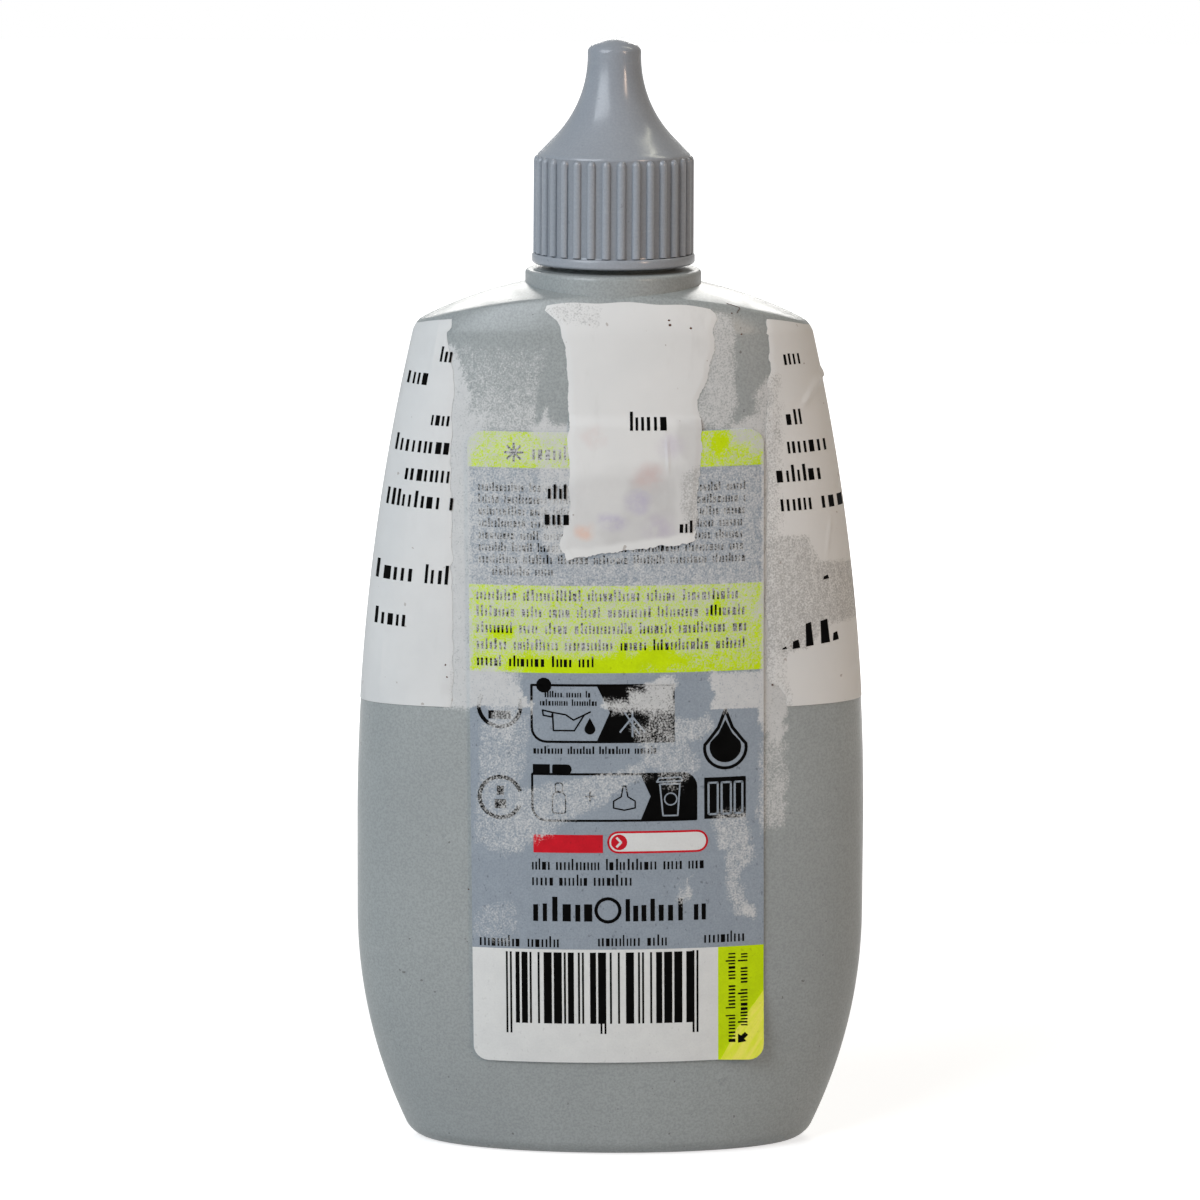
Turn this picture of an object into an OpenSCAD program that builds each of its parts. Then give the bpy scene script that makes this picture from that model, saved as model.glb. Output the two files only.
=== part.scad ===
// Oval squeeze bottle for chain lube: a blown bottle, a pressed-in dropper nozzle,
// a ribbed screw cap with a long nose, a label on the shown side and a torn over-label.
// Millimetres. +Z is up, the shown side faces -Y, the origin is the middle of the base.

/* [Body] */
// Width at the belly, where the body is widest
belly_w = 67.4; // [62:0.2:76]
// Depth at the belly
belly_d = 27; // [26.4:0.2:34]
// Width at the foot, before its edge is rounded
foot_w = 52.6; // [46:0.2:60]
// Depth at the foot, before its edge is rounded
foot_d = 22; // [19:0.2:26]
// Width at the top of the side walls
shoulder_w = 52.4; // [46:0.2:60]
// Depth at the top of the front and back walls
shoulder_d = 25.6; // [25:0.2:26.2]
// Height where the lower side curve ends
belly_low = 31; // [24:0.5:38]
// Height where the upper side curve begins
belly_high = 43; // [40:0.5:55]
// Height of the side walls
shoulder_z = 108.9; // [95:0.1:125]
// Radius of the shoulder's crown across the width
crown_w = 55; // [45:0.5:80]
// Radius of the shoulder's crown across the depth
crown_d = 34; // [30:0.5:50]
// Height of the shoulder's rounded edge at the sides
edge_side = 1; // [0.8:0.1:2]
// Height of the shoulder's rounded edge at the front and back, where it leans in gently
edge_front = 4.4; // [2:0.1:5.5]
// How far in the edge reaches at the front and back for each millimetre of its extra height
edge_lean = 0.15; // [0.05:0.01:0.25]
// Radius of the foot's edge
foot_r = 2; // [1:0.1:3]
// Width of the flat ring that the bottle stands on
ring_w = 2.6; // [1.5:0.1:4]
// Height of the hollow in the middle of the base
recess_h = 1.5; // [0.8:0.1:2.5]
// Thickness of the blown wall
wall_t = 1.2; // [0.8:0.1:1.6]

/* [Neck] */
// Outer diameter of the neck
neck_d = 15.8; // [15:0.1:16.4]
// Bore of the neck
bore_d = 12; // [11:0.1:12.6]
// Height of the neck over its collar
neck_h = 10.4; // [9:0.1:12]
// Diameter of the collar under the cap
collar_d = 23.1; // [22:0.1:24]
// Height of the collar over the crown of the shoulder
collar_rise = 0.6; // [0.2:0.1:2]
// Radius of the collar's top edge
collar_edge = 0.6; // [0.2:0.1:0.9]

/* [Dropper insert] */
// Radial gap between the plug and the neck bore
plug_gap = 0.05; // [0.02:0.01:0.15]
// Length of the plug in the neck
plug_len = 8; // [5:0.5:9]
// Wall of the plug
plug_wall = 1.1; // [0.8:0.1:1.4]
// Diameter of the flange on the neck's rim
flange_d = 15; // [13.6:0.1:15.6]
// Thickness of the flange
flange_t = 1.2; // [0.8:0.1:1.6]
// Diameter of the nozzle at its foot
nozzle_d = 7.6; // [7:0.1:8.4]
// Diameter of the nozzle at its tip
nozzle_tip_d = 3.6; // [3.4:0.1:4]
// Diameter of the hole in the tip
orifice_d = 2; // [1.8:0.1:2.2]
// Length of the straight hole in the tip
orifice_len = 3; // [2:0.5:4]

/* [Screw cap] */
// Gap between the cap and the collar
cap_gap = 0.7; // [0.3:0.1:1.5]
// Diameter between the grip ribs
grip_d = 20; // [19.8:0.1:21]
// Number of grip ribs
rib_n = 32; // [24:1:36]
// Radius of a grip rib
rib_r = 0.56; // [0.4:0.02:0.6]
// Height of the skirt up to the nose
skirt_h = 14.4; // [13.5:0.1:17]
// Diameter of the plain band under the ribs
band_d = 21.36; // [21.2:0.02:22.5]
// Height of the plain band
band_h = 1.3; // [0.8:0.1:2]
// Radius that rounds the band's lower edge and the tops of the ribs
cap_edge = 0.4; // [0.2:0.05:0.5]
// Diameter inside the skirt
skirt_in_d = 18.2; // [17.6:0.1:18.4]
// Diameter of the nose where it meets the skirt
nose_d = 19.6; // [19:0.1:19.8]
// Diameter of the tip
tip_d = 7; // [6.8:0.1:8]
// Height of the nose over the skirt, without the domed end
nose_h = 13.6; // [13:0.1:18]
// Slope of the lower nose, from upright
nose_slope = 44; // [40:1:46]
// Height of the domed end
tip_dome = 1.4; // [0.6:0.1:2]
// Wall of the nose
nose_wall = 1.1; // [0.8:0.1:1.2]
// Gap between the nozzle's tip and the cap
tip_gap = 0.5; // [0.3:0.1:1]
// Diameter of the pin that closes the nozzle
pin_d = 1.5; // [1.2:0.1:1.6]
// Length of the pin inside the nozzle
pin_in = 1.6; // [0.8:0.1:2]

/* [Label and over-label] */
// Gap between paper and what it is stuck to
paper_gap = 0.08; // [0.06:0.01:0.2]
// Width of the label
label_w = 38; // [30:0.5:40]
// Height of the label
label_h = 84; // [60:0.5:86]
// Height of the label's lower edge
label_z = 13.3; // [10:0.1:20]
// Distance of the label's middle from the bottle's middle
label_x = 0.8; // [-2:0.1:2]
// Tilt of the label, stuck on slightly askew
label_tilt = 0.6; // [-0.6:0.1:0.6]
// Corner radius of the label
label_corner = 2; // [1:0.1:4]
// Thickness of the label, a folded booklet
label_t = 0.3; // [0.2:0.05:0.5]
// Height of the over-label's lower edge
over_z = 60.5; // [50:0.5:80]
// Share of the shoulder's edge that the over-label climbs
over_climb = 0.65; // [0.2:0.05:0.8]
// Angle round the oval, from the front, at which the over-label ends behind the sides
over_wrap = 125; // [100:1:150]
// Thickness of the over-label
over_t = 0.12; // [0.08:0.01:0.2]
// Distance of the left piece's torn edge from the label
tear_left = 2.7; // [1.4:0.1:5]
// Distance of the right piece's torn edge from the label
tear_right = 0.7; // [0.5:0.1:3]
// How far the torn edges of the left and right pieces wander
tear_rough = 0.7; // [0.2:0.1:1]
// Distance of the middle piece's left edge from the bottle's middle
patch_left = 5.6; // [3:0.1:10]
// Distance of the middle piece's right edge from the bottle's middle
patch_right = 11; // [8:0.1:14]
// Height of the middle piece's torn lower edge
tear_z = 81.7; // [70:0.1:95]
// Rise of that edge from left to right
tear_rise = 2.3; // [0:0.1:6]

/* [Hidden] */
$fn = 96;

bottle_col = [0.56, 0.58, 0.59];
cap_col = [0.50, 0.53, 0.56];
insert_col = [0.93, 0.93, 0.90];
label_col = [0.64, 0.68, 0.73];
paper_col = [0.91, 0.91, 0.90];

// Points round the body, and rings up each stretch of it
round_n = 64;
wall_n = 18;
edge_n = 5;
crown_n = 3;
foot_n = 4;

// Drop of a circle of radius r at distance d from its top, and the radius of an arc
function sag(d, r) = r - sqrt(r * r - d * d);
function arc_r(run, rise) = (run * run + rise * rise) / (2 * max(rise, 0.01));

// Half width or half depth of the body at height z: two arcs with an upright belly between
function half(z, belly, foot, top) =
    let (low = arc_r(belly_low, (belly - foot) / 2),
        high = arc_r(shoulder_z - belly_high, (belly - top) / 2))
    z < belly_low ? belly / 2 - sag(belly_low - z, low)
        : z > belly_high ? belly / 2 - sag(z - belly_high, high) : belly / 2;
function half_w(z) = half(z, belly_w, foot_w, shoulder_w);
function half_d(z) = half(z, belly_d, foot_d, shoulder_d);

// A point of an oval at angle t from the front
function oval(a, b, t) = [a * sin(t), -b * cos(t)];

// Crown of the shoulder, and how far down and in its rounded edge reaches round the oval
crest = shoulder_z + edge_side + sag(shoulder_w / 2, crown_w);
function crown(p) = crest - sag(abs(p.x), crown_w) - sag(abs(p.y), crown_d);
function edge(t, off) =
    max(edge_side + (edge_front - edge_side) * pow(cos(t), 2) + off, 0.2);
function edge_in(t, off) =
    edge(t, off) * (edge_lean + (1 - edge_lean) * edge_side / edge(t, 0));
function outline(t, off) = oval(shoulder_w / 2 + off, shoulder_d / 2 + off, t);
function inward(t, off) =
    let (n = oval(shoulder_d / 2 + off, shoulder_w / 2 + off, t)) -n / norm(n);
function rim(t, off) = crown(outline(t, off)) + off - edge(t, off);

// The body's skin moved outwards by off, at angle t: the wall up to s = 1, the rounded edge
// up to s = 2, the crown up to the neck hole at s = 3
hole_r = neck_d / 2 + 0.4;
function skin(t, s, off, hole = hole_r) =
    let (o = outline(t, off),
        h = oval(hole, hole, t),
        way = inward(t, off) * edge_in(t, off),
        r = edge(t, off))
    s <= 1 ? let (zr = foot_r + s * (shoulder_z - foot_r))
        concat(oval(half_w(zr) + off, half_d(zr) + off, t),
            foot_r + s * (rim(t, off) - foot_r))
    : s <= 2 ? let (q = 90 * (s - 1), p = o + way * (1 - pow(cos(q), 1.4)))
        concat(p, crown(p) + off - r * (1 - pow(sin(q), 1.4)))
    : let (p = (o + way) * (3 - s) + h * (s - 2))
        concat(p, crown(p) + off);

// A ring of the foot's rounded edge at angle q, and a flat ring of the base
function foot_ring(q, off, lift) = [for (i = [0:round_n - 1])
    let (t = 360 * i / round_n,
        z = foot_r * (1 - sin(q)),
        in = foot_r * (1 - cos(q)) - off)
    concat(oval(half_w(z) - in, half_d(z) - in, t), z + lift)];
function base_ring(in, z) = [for (i = [0:round_n - 1])
    concat(oval(foot_w / 2 - in, foot_d / 2 - in, 360 * i / round_n), z)];
function skin_ring(s, off, hole) =
    [for (i = [0:round_n - 1]) skin(360 * i / round_n, s, off, hole)];
function skin_rings(off, hole) = concat(
    [for (i = [1:wall_n]) skin_ring(i / wall_n, off, hole)],
    [for (i = [1:edge_n]) skin_ring(1 + i / edge_n, off, hole)],
    [for (i = [1:crown_n]) skin_ring(2 + i / crown_n, off, hole)]);

// The blown shell as one run of rings: base, foot, outside, neck hole, inside, floor
outside = concat(
    [base_ring(foot_r + ring_w + 2 * recess_h, recess_h), base_ring(foot_r + ring_w, 0)],
    [for (i = [0:foot_n]) foot_ring(90 - 90 * i / foot_n, 0, 0)],
    skin_rings(0, hole_r));
inside = concat(
    [base_ring(foot_r + ring_w + 2 * recess_h, recess_h + wall_t),
        base_ring(foot_r + ring_w, wall_t)],
    [for (i = [0:foot_n]) foot_ring(90 - 90 * i / foot_n, -wall_t,
        wall_t * (1 - i / foot_n))],
    skin_rings(-wall_t, hole_r - wall_t));

// Triangles between two neighbouring rings of n points, k being the first point's number
function band(k, n) = [for (j = [0:n - 1]) let (m = (j + 1) % n)
    each [[k + j, k + n + m, k + m], [k + j, k + n + j, k + n + m]]];

module loft(rings) {
    n = len(rings[0]);
    last = (len(rings) - 1) * n;
    polyhedron(
        points = [for (r = rings) each r],
        faces = concat(
            [[for (j = [0:n - 1]) j]],
            [for (i = [0:len(rings) - 2]) each band(i * n, n)],
            [[for (j = [n - 1:-1:0]) last + j]]));
}

// Heights of the neck, worked up from the crown
collar_r = collar_d / 2;
collar_top = crest + collar_rise;
collar_low = crest - max(sag(collar_r, crown_w), sag(collar_r, crown_d)) - wall_t / 2;
land_z = collar_top + neck_h;

// Points of a quarter circle of radius r about p, from angle a by 90 degrees
function quarter(p, r, a) = [for (i = [0:6]) p + r * [cos(a + 15 * i), sin(a + 15 * i)]];

module neck() {
    rotate_extrude()
        polygon(concat(
            [[bore_d / 2, collar_low], [collar_r, collar_low]],
            quarter([collar_r - collar_edge, collar_top - collar_edge], collar_edge, 0),
            [[neck_d / 2, collar_top], [neck_d / 2, land_z - 0.4],
                [neck_d / 2 - 0.4, land_z], [bore_d / 2, land_z]]));
}

module bottle() {
    color(bottle_col) union() {
        loft(concat(outside, [for (i = [len(inside) - 1:-1:0]) inside[i]]));
        neck();
    }
}

// The cap's heights and the curve of its nose
cap_z = collar_top + cap_gap;
nose_z = cap_z + skirt_h;
tip_z = nose_z + nose_h;
nose_run = (nose_d - tip_d) / 2;
cone_h = nose_h - 1;
nose_r = (tan(nose_slope) * cone_h - nose_run)
    / (tan(nose_slope) * sin(nose_slope) - 1 + cos(nose_slope));
bend_z = tip_z - 1;
cone_z = bend_z - nose_r * sin(nose_slope);
function nose_at(z) = z >= bend_z ? tip_d / 2
    : z >= cone_z ? tip_d / 2 + sag(bend_z - z, nose_r)
    : nose_d / 2 - (z - nose_z) * tan(nose_slope);
nose_steps = [for (i = [0:14]) i / 14];
dome_r = arc_r(tip_d / 2, tip_dome);

// The roof inside the tip, and the nozzle's tip under it
roof_z = tip_z + tip_dome - 1.6 * nose_wall;
nozzle_z = roof_z - tip_gap;
nozzle_in = nozzle_d / 2 - 1.2;

module dropper_insert() {
    plug_r = bore_d / 2 - plug_gap;
    color(insert_col) rotate_extrude() polygon([
        [plug_r - plug_wall, land_z - plug_len],
        [plug_r - 0.5, land_z - plug_len],
        [plug_r, land_z - plug_len + 1.2],
        [plug_r, land_z],
        [flange_d / 2, land_z],
        [flange_d / 2, land_z + flange_t - 0.3],
        [flange_d / 2 - 0.3, land_z + flange_t],
        [nozzle_d / 2 + 0.5, land_z + flange_t],
        [nozzle_d / 2, land_z + flange_t + 0.6],
        [nozzle_tip_d / 2 + 0.1, nozzle_z - 0.4],
        [nozzle_tip_d / 2 - 0.3, nozzle_z],
        [orifice_d / 2, nozzle_z],
        [orifice_d / 2, nozzle_z - orifice_len],
        [nozzle_in, land_z + flange_t],
        [plug_r - plug_wall, land_z - 1]]);
}

// Outside of the cap without its ribs
module cap_core() {
    rotate_extrude() polygon(concat(
        [[0, cap_z]],
        quarter([band_d / 2 - cap_edge, cap_z + cap_edge], cap_edge, -90),
        [[band_d / 2, cap_z + band_h - 0.15], [band_d / 2 - 0.15, cap_z + band_h],
            [grip_d / 2, cap_z + band_h], [grip_d / 2, nose_z - 0.2]],
        [for (u = nose_steps) let (z = nose_z + u * (bend_z - nose_z)) [nose_at(z), z]],
        [[tip_d / 2 - 0.1, tip_z]],
        [for (i = [1:6]) let (r = (tip_d / 2 - 0.1) * (1 - i / 6))
            [r, tip_z + tip_dome - sag(r, dome_r)]]));
}

// Grip ribs, cut to a drum whose top edge is rounded
module cap_ribs() {
    drum_r = grip_d / 2 + rib_r;
    intersection() {
        translate([0, 0, cap_z + band_h / 2])
            linear_extrude(height = skirt_h - band_h / 2 - 0.4) {
                circle(r = grip_d / 2 - 0.3);
                for (i = [0:rib_n - 1])
                    rotate(360 * (i + 0.5) / rib_n)
                        translate([grip_d / 2, 0]) circle(r = rib_r, $fn = 24);
            }
        rotate_extrude() polygon(concat(
            [[0, cap_z], [drum_r, cap_z]],
            quarter([drum_r - 2 * cap_edge, nose_z - 0.4 - 2 * cap_edge], 2 * cap_edge, 0),
            [[0, nose_z - 0.4]]));
    }
}

// Hollow of the cap: the skirt's bore and the inside of the nose
module cap_hollow() {
    inner_z = nose_z - 1.6;
    top_z = roof_z;
    rotate_extrude() polygon(concat(
        [[0, cap_z - 1], [skirt_in_d / 2, cap_z - 1], [skirt_in_d / 2, inner_z]],
        [for (u = nose_steps) let (z = inner_z + u * (top_z - 0.6 - inner_z))
            [min(nose_at(max(z, nose_z)) - nose_wall, skirt_in_d / 2 - 0.4), z]],
        [[tip_d / 2 - nose_wall - 0.6, top_z], [0, top_z]]));
}

module screw_cap() {
    color(cap_col) {
        difference() {
            union() {
                cap_core();
                cap_ribs();
            }
            cap_hollow();
        }
        translate([0, 0, nozzle_z - pin_in])
            cylinder(d = pin_d, h = pin_in + tip_gap + nose_wall / 2, $fn = 32);
    }
}

// A sheet of paper on the skin: at(u, v) gives its angle, its place up the skin and its
// lift off it, for u across and v up the sheet, both from 0 to 1
module sheet(nu, nv, thick, at) {
    w = nu + 1;
    n = w * (nv + 1);
    faces_of = function (lift) [for (j = [0:nv]) each [for (i = [0:nu])
        let (p = at(i / nu, j / nv)) skin(p[0], p[1], p[2] + lift)]];
    rim_ids = concat([for (i = [0:nu - 1]) i], [for (j = [0:nv - 1]) j * w + nu],
        [for (i = [nu:-1:1]) nv * w + i], [for (j = [nv:-1:1]) j * w]);
    m = len(rim_ids);
    polyhedron(
        points = concat(faces_of(0), faces_of(thick)),
        faces = concat(
            [for (j = [0:nv - 1]) each [for (i = [0:nu - 1]) let (k = j * w + i) each
                [[k, k + 1, k + w + 1], [k, k + w + 1, k + w],
                    [n + k, n + k + w + 1, n + k + 1], [n + k, n + k + w, n + k + w + 1]]]],
            [for (k = [0:m - 1]) let (a = rim_ids[k], b = rim_ids[(k + 1) % m]) each
                [[a, n + b, b], [a, n + a, n + b]]]));
}

// Angle of a place x across the front at height z, and the height's place up the skin
function across(x, z) = asin(max(-1, min(1, x / half_w(min(z, shoulder_z)))));
function up(z, t) = (z - foot_r) / (rim(t, 0) - foot_r);

// Rows of the label: four in each pair of round corners, the rest evenly between them
label_n = 20;
function label_row(k) = k < 4 ? label_corner * (1 - cos(22.5 * k))
    : k > label_n - 4 ? label_h - label_corner * (1 - cos(22.5 * (label_n - k)))
    : label_corner + (label_h - 2 * label_corner) * (k - 4) / (label_n - 8);

module back_label() {
    at = function (u, v)
        let (h = label_row(v * label_n),
            d = label_corner - min(label_corner, h, label_h - h),
            x = (2 * u - 1) * (label_w / 2 - sag(d, label_corner)),
            y = h - label_h / 2,
            z = label_z + label_h / 2 + x * sin(label_tilt) + y * cos(label_tilt),
            t = across(label_x + x * cos(label_tilt) - y * sin(label_tilt), z))
        [t, up(z, t), paper_gap];
    color(label_col) sheet(12, label_n, label_t, at);
}

// Torn edges by the share of the rows: how far the sides wander outwards, as shares of
// their roughness, and how wide the middle piece is, as shares of its own two distances
left_wander = [[0, 0], [0.1, -0.3], [0.42, 0], [0.69, 0], [0.76, -0.3], [0.81, 0],
    [0.86, 0.6], [0.895, 1], [0.94, 0.4], [1, 0]];
right_wander = [[0, 3.6], [0.04, 3.2], [0.08, 0.2], [0.25, 0], [0.7, 0], [0.77, 0.3],
    [0.9, 0.1], [1, 0]];
patch_left_shape = [[0, 1.07], [0.03, 1.18], [0.2, 0.98], [0.56, 1], [0.8, 1.07],
    [0.935, 1.21], [0.96, 1.32], [0.98, 1.56], [1, 1.56]];
patch_right_shape = [[0, 0.95], [0.31, 0.99], [0.38, 1.04], [0.525, 1.02], [0.61, 0.99],
    [0.69, 1.08], [0.81, 1.16], [0.935, 1.18], [0.965, 1.24], [0.985, 1.15], [1, 1.08]];
left_x = label_x - label_w / 2 - tear_left;
right_x = label_x + label_w / 2 + tear_right;

// A place up the over-label, with nine tenths of its rows on the wall and the others over
// the shoulder's edge, and the rough height that it stands for
function over_s(v, low) = v < 0.9 ? up(low, 0) + v / 0.9 * (1 - up(low, 0))
    : 1 + (v - 0.9) * 10 * over_climb;
function over_height(s) = foot_r + min(s, 1) * (shoulder_z + edge_side - foot_r);

module overlabel_left() {
    at = function (u, v)
        let (s = over_s(v, over_z),
            t = across(left_x - tear_rough * lookup(v, left_wander), over_height(s)))
        [-over_wrap + u * (t + over_wrap), s, paper_gap];
    color(paper_col) sheet(14, 20, over_t, at);
}

module overlabel_right() {
    at = function (u, v)
        let (s = over_s(v, over_z),
            t = across(right_x + tear_rough * lookup(v, right_wander), over_height(s)))
        [t + u * (over_wrap - t), s, paper_gap];
    color(paper_col) sheet(14, 20, over_t, at);
}

// The middle piece lies on the bottle above the label, steps up at its edge and lies on it
step_run = 5 * label_t;
module overlabel_centre() {
    at = function (u, v)
        let (s = over_s(v, tear_z + (u - 0.5) * tear_rise),
            z = over_height(s),
            a = across(-patch_left * lookup(v, patch_left_shape), z),
            b = across(patch_right * lookup(v, patch_right_shape), z),
            on_label = max(0, min(1, (label_z + label_h - z) / step_run + 2)))
        [a + u * (b - a), s, paper_gap + on_label * (label_t + paper_gap)];
    color(paper_col) sheet(8, 30, over_t, at);
}

bottle();
dropper_insert();
screw_cap();
back_label();
overlabel_left();
overlabel_right();
overlabel_centre();
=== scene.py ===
import random
from math import ceil, cos, floor, hypot, pi as PI, radians, sin, tan

import bmesh
import bpy
import numpy as np
from mathutils import Matrix, Vector, noise


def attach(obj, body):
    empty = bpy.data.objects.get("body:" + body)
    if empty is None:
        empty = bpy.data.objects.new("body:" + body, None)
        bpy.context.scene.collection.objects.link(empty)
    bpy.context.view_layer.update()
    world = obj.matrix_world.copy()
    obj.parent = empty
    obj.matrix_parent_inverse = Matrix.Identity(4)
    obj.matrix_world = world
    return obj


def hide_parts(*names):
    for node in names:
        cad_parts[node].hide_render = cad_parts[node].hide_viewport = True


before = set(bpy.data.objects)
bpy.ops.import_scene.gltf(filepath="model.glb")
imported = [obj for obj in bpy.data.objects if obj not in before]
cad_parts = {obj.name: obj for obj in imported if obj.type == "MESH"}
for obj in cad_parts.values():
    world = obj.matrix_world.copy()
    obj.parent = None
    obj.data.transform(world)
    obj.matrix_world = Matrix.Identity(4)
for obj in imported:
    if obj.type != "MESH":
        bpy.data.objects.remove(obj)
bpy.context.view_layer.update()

MM = 0.001
scene = bpy.context.scene

# Sizes of the solids, in millimetres
BELLY_W, BELLY_D, BELLY_LOW, BELLY_HIGH = 67.4, 27.0, 31.0, 43.0
FOOT_W, FOOT_D, FOOT_R, RING_W, RECESS = 52.6, 22.0, 2.0, 2.6, 1.5
SHOULDER_W, SHOULDER_D, SHOULDER_Z = 52.4, 25.6, 108.9
CROWN_W, CROWN_D, EDGE_SIDE, EDGE_FRONT, EDGE_LEAN = 55.0, 34.0, 1.0, 4.4, 0.15
WALL, NECK_R, BORE_R, NECK_H = 1.2, 7.9, 6.0, 10.4
COLLAR_R, COLLAR_RISE, COLLAR_EDGE = 11.55, 0.6, 0.6
HOLE = NECK_R + 0.4
LABEL_X, LABEL_Z, LABEL_HALF, LABEL_H, LABEL_R = 0.8, 13.3, 19.0, 84.0, 2.0
LABEL_T, LABEL_TILT, WRAP = 0.3, radians(0.6), radians(125)

# Sizes of the scene alone: paper lies closer than in the solids, print is a thin plate
GAP, OVER_T, OVER_LOW = 0.04, 0.09, 60.6
INK_T, INK_LIFT = 0.015, 0.012
THREAD_DEPTH, THREAD_PITCH = 0.95, 2.6
FOLD_AT, FOLD_OUT, PEEL = (13.2, 0.5), (0.843, 0.538), 0.16


# The bottle's surface

def sag(d, r):
    """Drop of a circle of radius r at distance d from its top."""
    return r - np.sqrt(np.maximum(r * r - d * d, 0.0))


def arc_r(run, rise):
    return (run * run + rise * rise) / (2 * rise)


def half(z, belly, foot, top):
    """Half the width or depth at height z: two arcs with an upright belly between."""
    low = sag(np.maximum(BELLY_LOW - z, 0), arc_r(BELLY_LOW, (belly - foot) / 2))
    high = sag(np.maximum(z - BELLY_HIGH, 0), arc_r(SHOULDER_Z - BELLY_HIGH, (belly - top) / 2))
    return belly / 2 - low - high


def half_w(z):
    return half(z, BELLY_W, FOOT_W, SHOULDER_W)


def half_d(z):
    return half(z, BELLY_D, FOOT_D, SHOULDER_D)


CREST = SHOULDER_Z + EDGE_SIDE + sag(SHOULDER_W / 2, CROWN_W)
COLLAR_TOP = CREST + COLLAR_RISE
LAND = COLLAR_TOP + NECK_H


def crown(x, y):
    return CREST - sag(x, CROWN_W) - sag(y, CROWN_D)


def edge(t, off):
    """Height of the shoulder's rounded edge at angle t."""
    return np.maximum(EDGE_SIDE + (EDGE_FRONT - EDGE_SIDE) * np.cos(t) ** 2 + off, 0.2)


def rim(t, off=0.0):
    """Height at which the wall ends at angle t."""
    x, y = (SHOULDER_W / 2 + off) * np.sin(t), (SHOULDER_D / 2 + off) * np.cos(t)
    return crown(x, y) + off - edge(t, off)


def wall_height(s):
    """Height that sets the wall's width and depth at place s."""
    return np.clip(FOOT_R + s * (SHOULDER_Z - FOOT_R), 0, SHOULDER_Z)


def skin(t, s, off=0.0, hole=HOLE):
    """Points at angle t from the front: wall to s = 1, rounded edge to 2, crown to 3."""
    t, s, off = np.broadcast_arrays(*(np.asarray(v, float) for v in (t, s, off)))
    sn, cs = np.sin(t), -np.cos(t)
    a, b = SHOULDER_W / 2 + off, SHOULDER_D / 2 + off
    ox, oy, hx, hy = a * sn, b * cs, hole * sn, hole * cs
    d = np.hypot(b * sn, a * cs)
    r = edge(t, off)
    e = r * (EDGE_LEAN + (1 - EDGE_LEAN) * EDGE_SIDE / edge(t, 0.0))
    wx, wy = -b * sn / d * e, -a * cs / d * e
    zr = wall_height(s)
    wall = np.stack([(half_w(zr) + off) * sn, (half_d(zr) + off) * cs,
                     FOOT_R + s * (rim(t, off) - FOOT_R)], -1)
    q = np.clip(s - 1, 0, 1) * PI / 2
    c, u = np.maximum(np.cos(q), 0) ** 1.4, np.sin(q) ** 1.4
    ex, ey = ox + wx * (1 - c), oy + wy * (1 - c)
    bend = np.stack([ex, ey, crown(ex, ey) + off - r * (1 - u)], -1)
    f = np.clip(s - 2, 0, 1)
    cx, cy = (ox + wx) * (1 - f) + hx * f, (oy + wy) * (1 - f) + hy * f
    top = np.stack([cx, cy, crown(cx, cy) + off], -1)
    s = s[..., None]
    return np.where(s <= 1, wall, np.where(s <= 2, bend, top))


def up(z, t):
    """Place up the skin of height z at angle t."""
    r = rim(t)
    lo, hi = np.zeros_like(z + t), np.ones_like(z + t)
    for _ in range(16 if np.any(z > r) else 0):
        mid = (lo + hi) / 2
        high = skin(t, 1 + mid)[..., 2] > z
        lo, hi = np.where(high, lo, mid), np.where(high, mid, hi)
    return np.where(z <= r, (z - FOOT_R) / (r - FOOT_R), 1 + lo)


def across(x, z):
    """Angle of the place x across the front at height z."""
    return np.arcsin(np.clip(x / half_w(np.minimum(z, SHOULDER_Z)), -1, 1))


def on_front(x, z, off):
    """A point x across the front at height z, lifted by off."""
    x, z = np.asarray(x, float), np.asarray(z, float)
    t = across(x, z)
    return skin(t, up(z, t), off)


def label_to_front(lx, lz):
    """From the label's own millimetres (from its middle line and lower edge) to x and z."""
    c, s = cos(LABEL_TILT), sin(LABEL_TILT)
    lz = lz - LABEL_H / 2
    return LABEL_X + lx * c - lz * s, LABEL_Z + LABEL_H / 2 + lx * s + lz * c


def ease(v):
    v = np.clip(v, 0, 1)
    return v * v * (3 - 2 * v)


def past_fold(lx, lz):
    """How far a place on the label lies past the fold across its peel corner."""
    return FOLD_OUT[0] * (lx - FOLD_AT[0]) - FOLD_OUT[1] * (lz - FOLD_AT[1])


def on_label(lx, lz, off):
    """A place on the label, whose peel corner stands a little off the bottle."""
    d = past_fold(lx, lz)
    p = on_front(*label_to_front(lx, lz), GAP + off)
    p[..., 1] -= PEEL * (np.sqrt(d * d + 0.16) + d)
    return p


def on_tab(lx, lz, off):
    """The printed face of the peel tab, creased along the fold."""
    d = past_fold(lx, lz)
    crease = np.sin(2 * PI * (d + 0.06 * lz) / 1.15)
    crease = crease + 0.6 * np.sin(2 * PI * (d - 0.05 * lz) / 0.7 + 1)
    return on_label(lx, lz, off + (0.02 + 0.014 * crease) * ease(d / 1.2))


# Paper fibres left where the over-label was torn off

def points(text):
    """Points, or longer rows of numbers, from a text."""
    return [tuple(map(float, row.split(","))) for row in text.split()]


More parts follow.
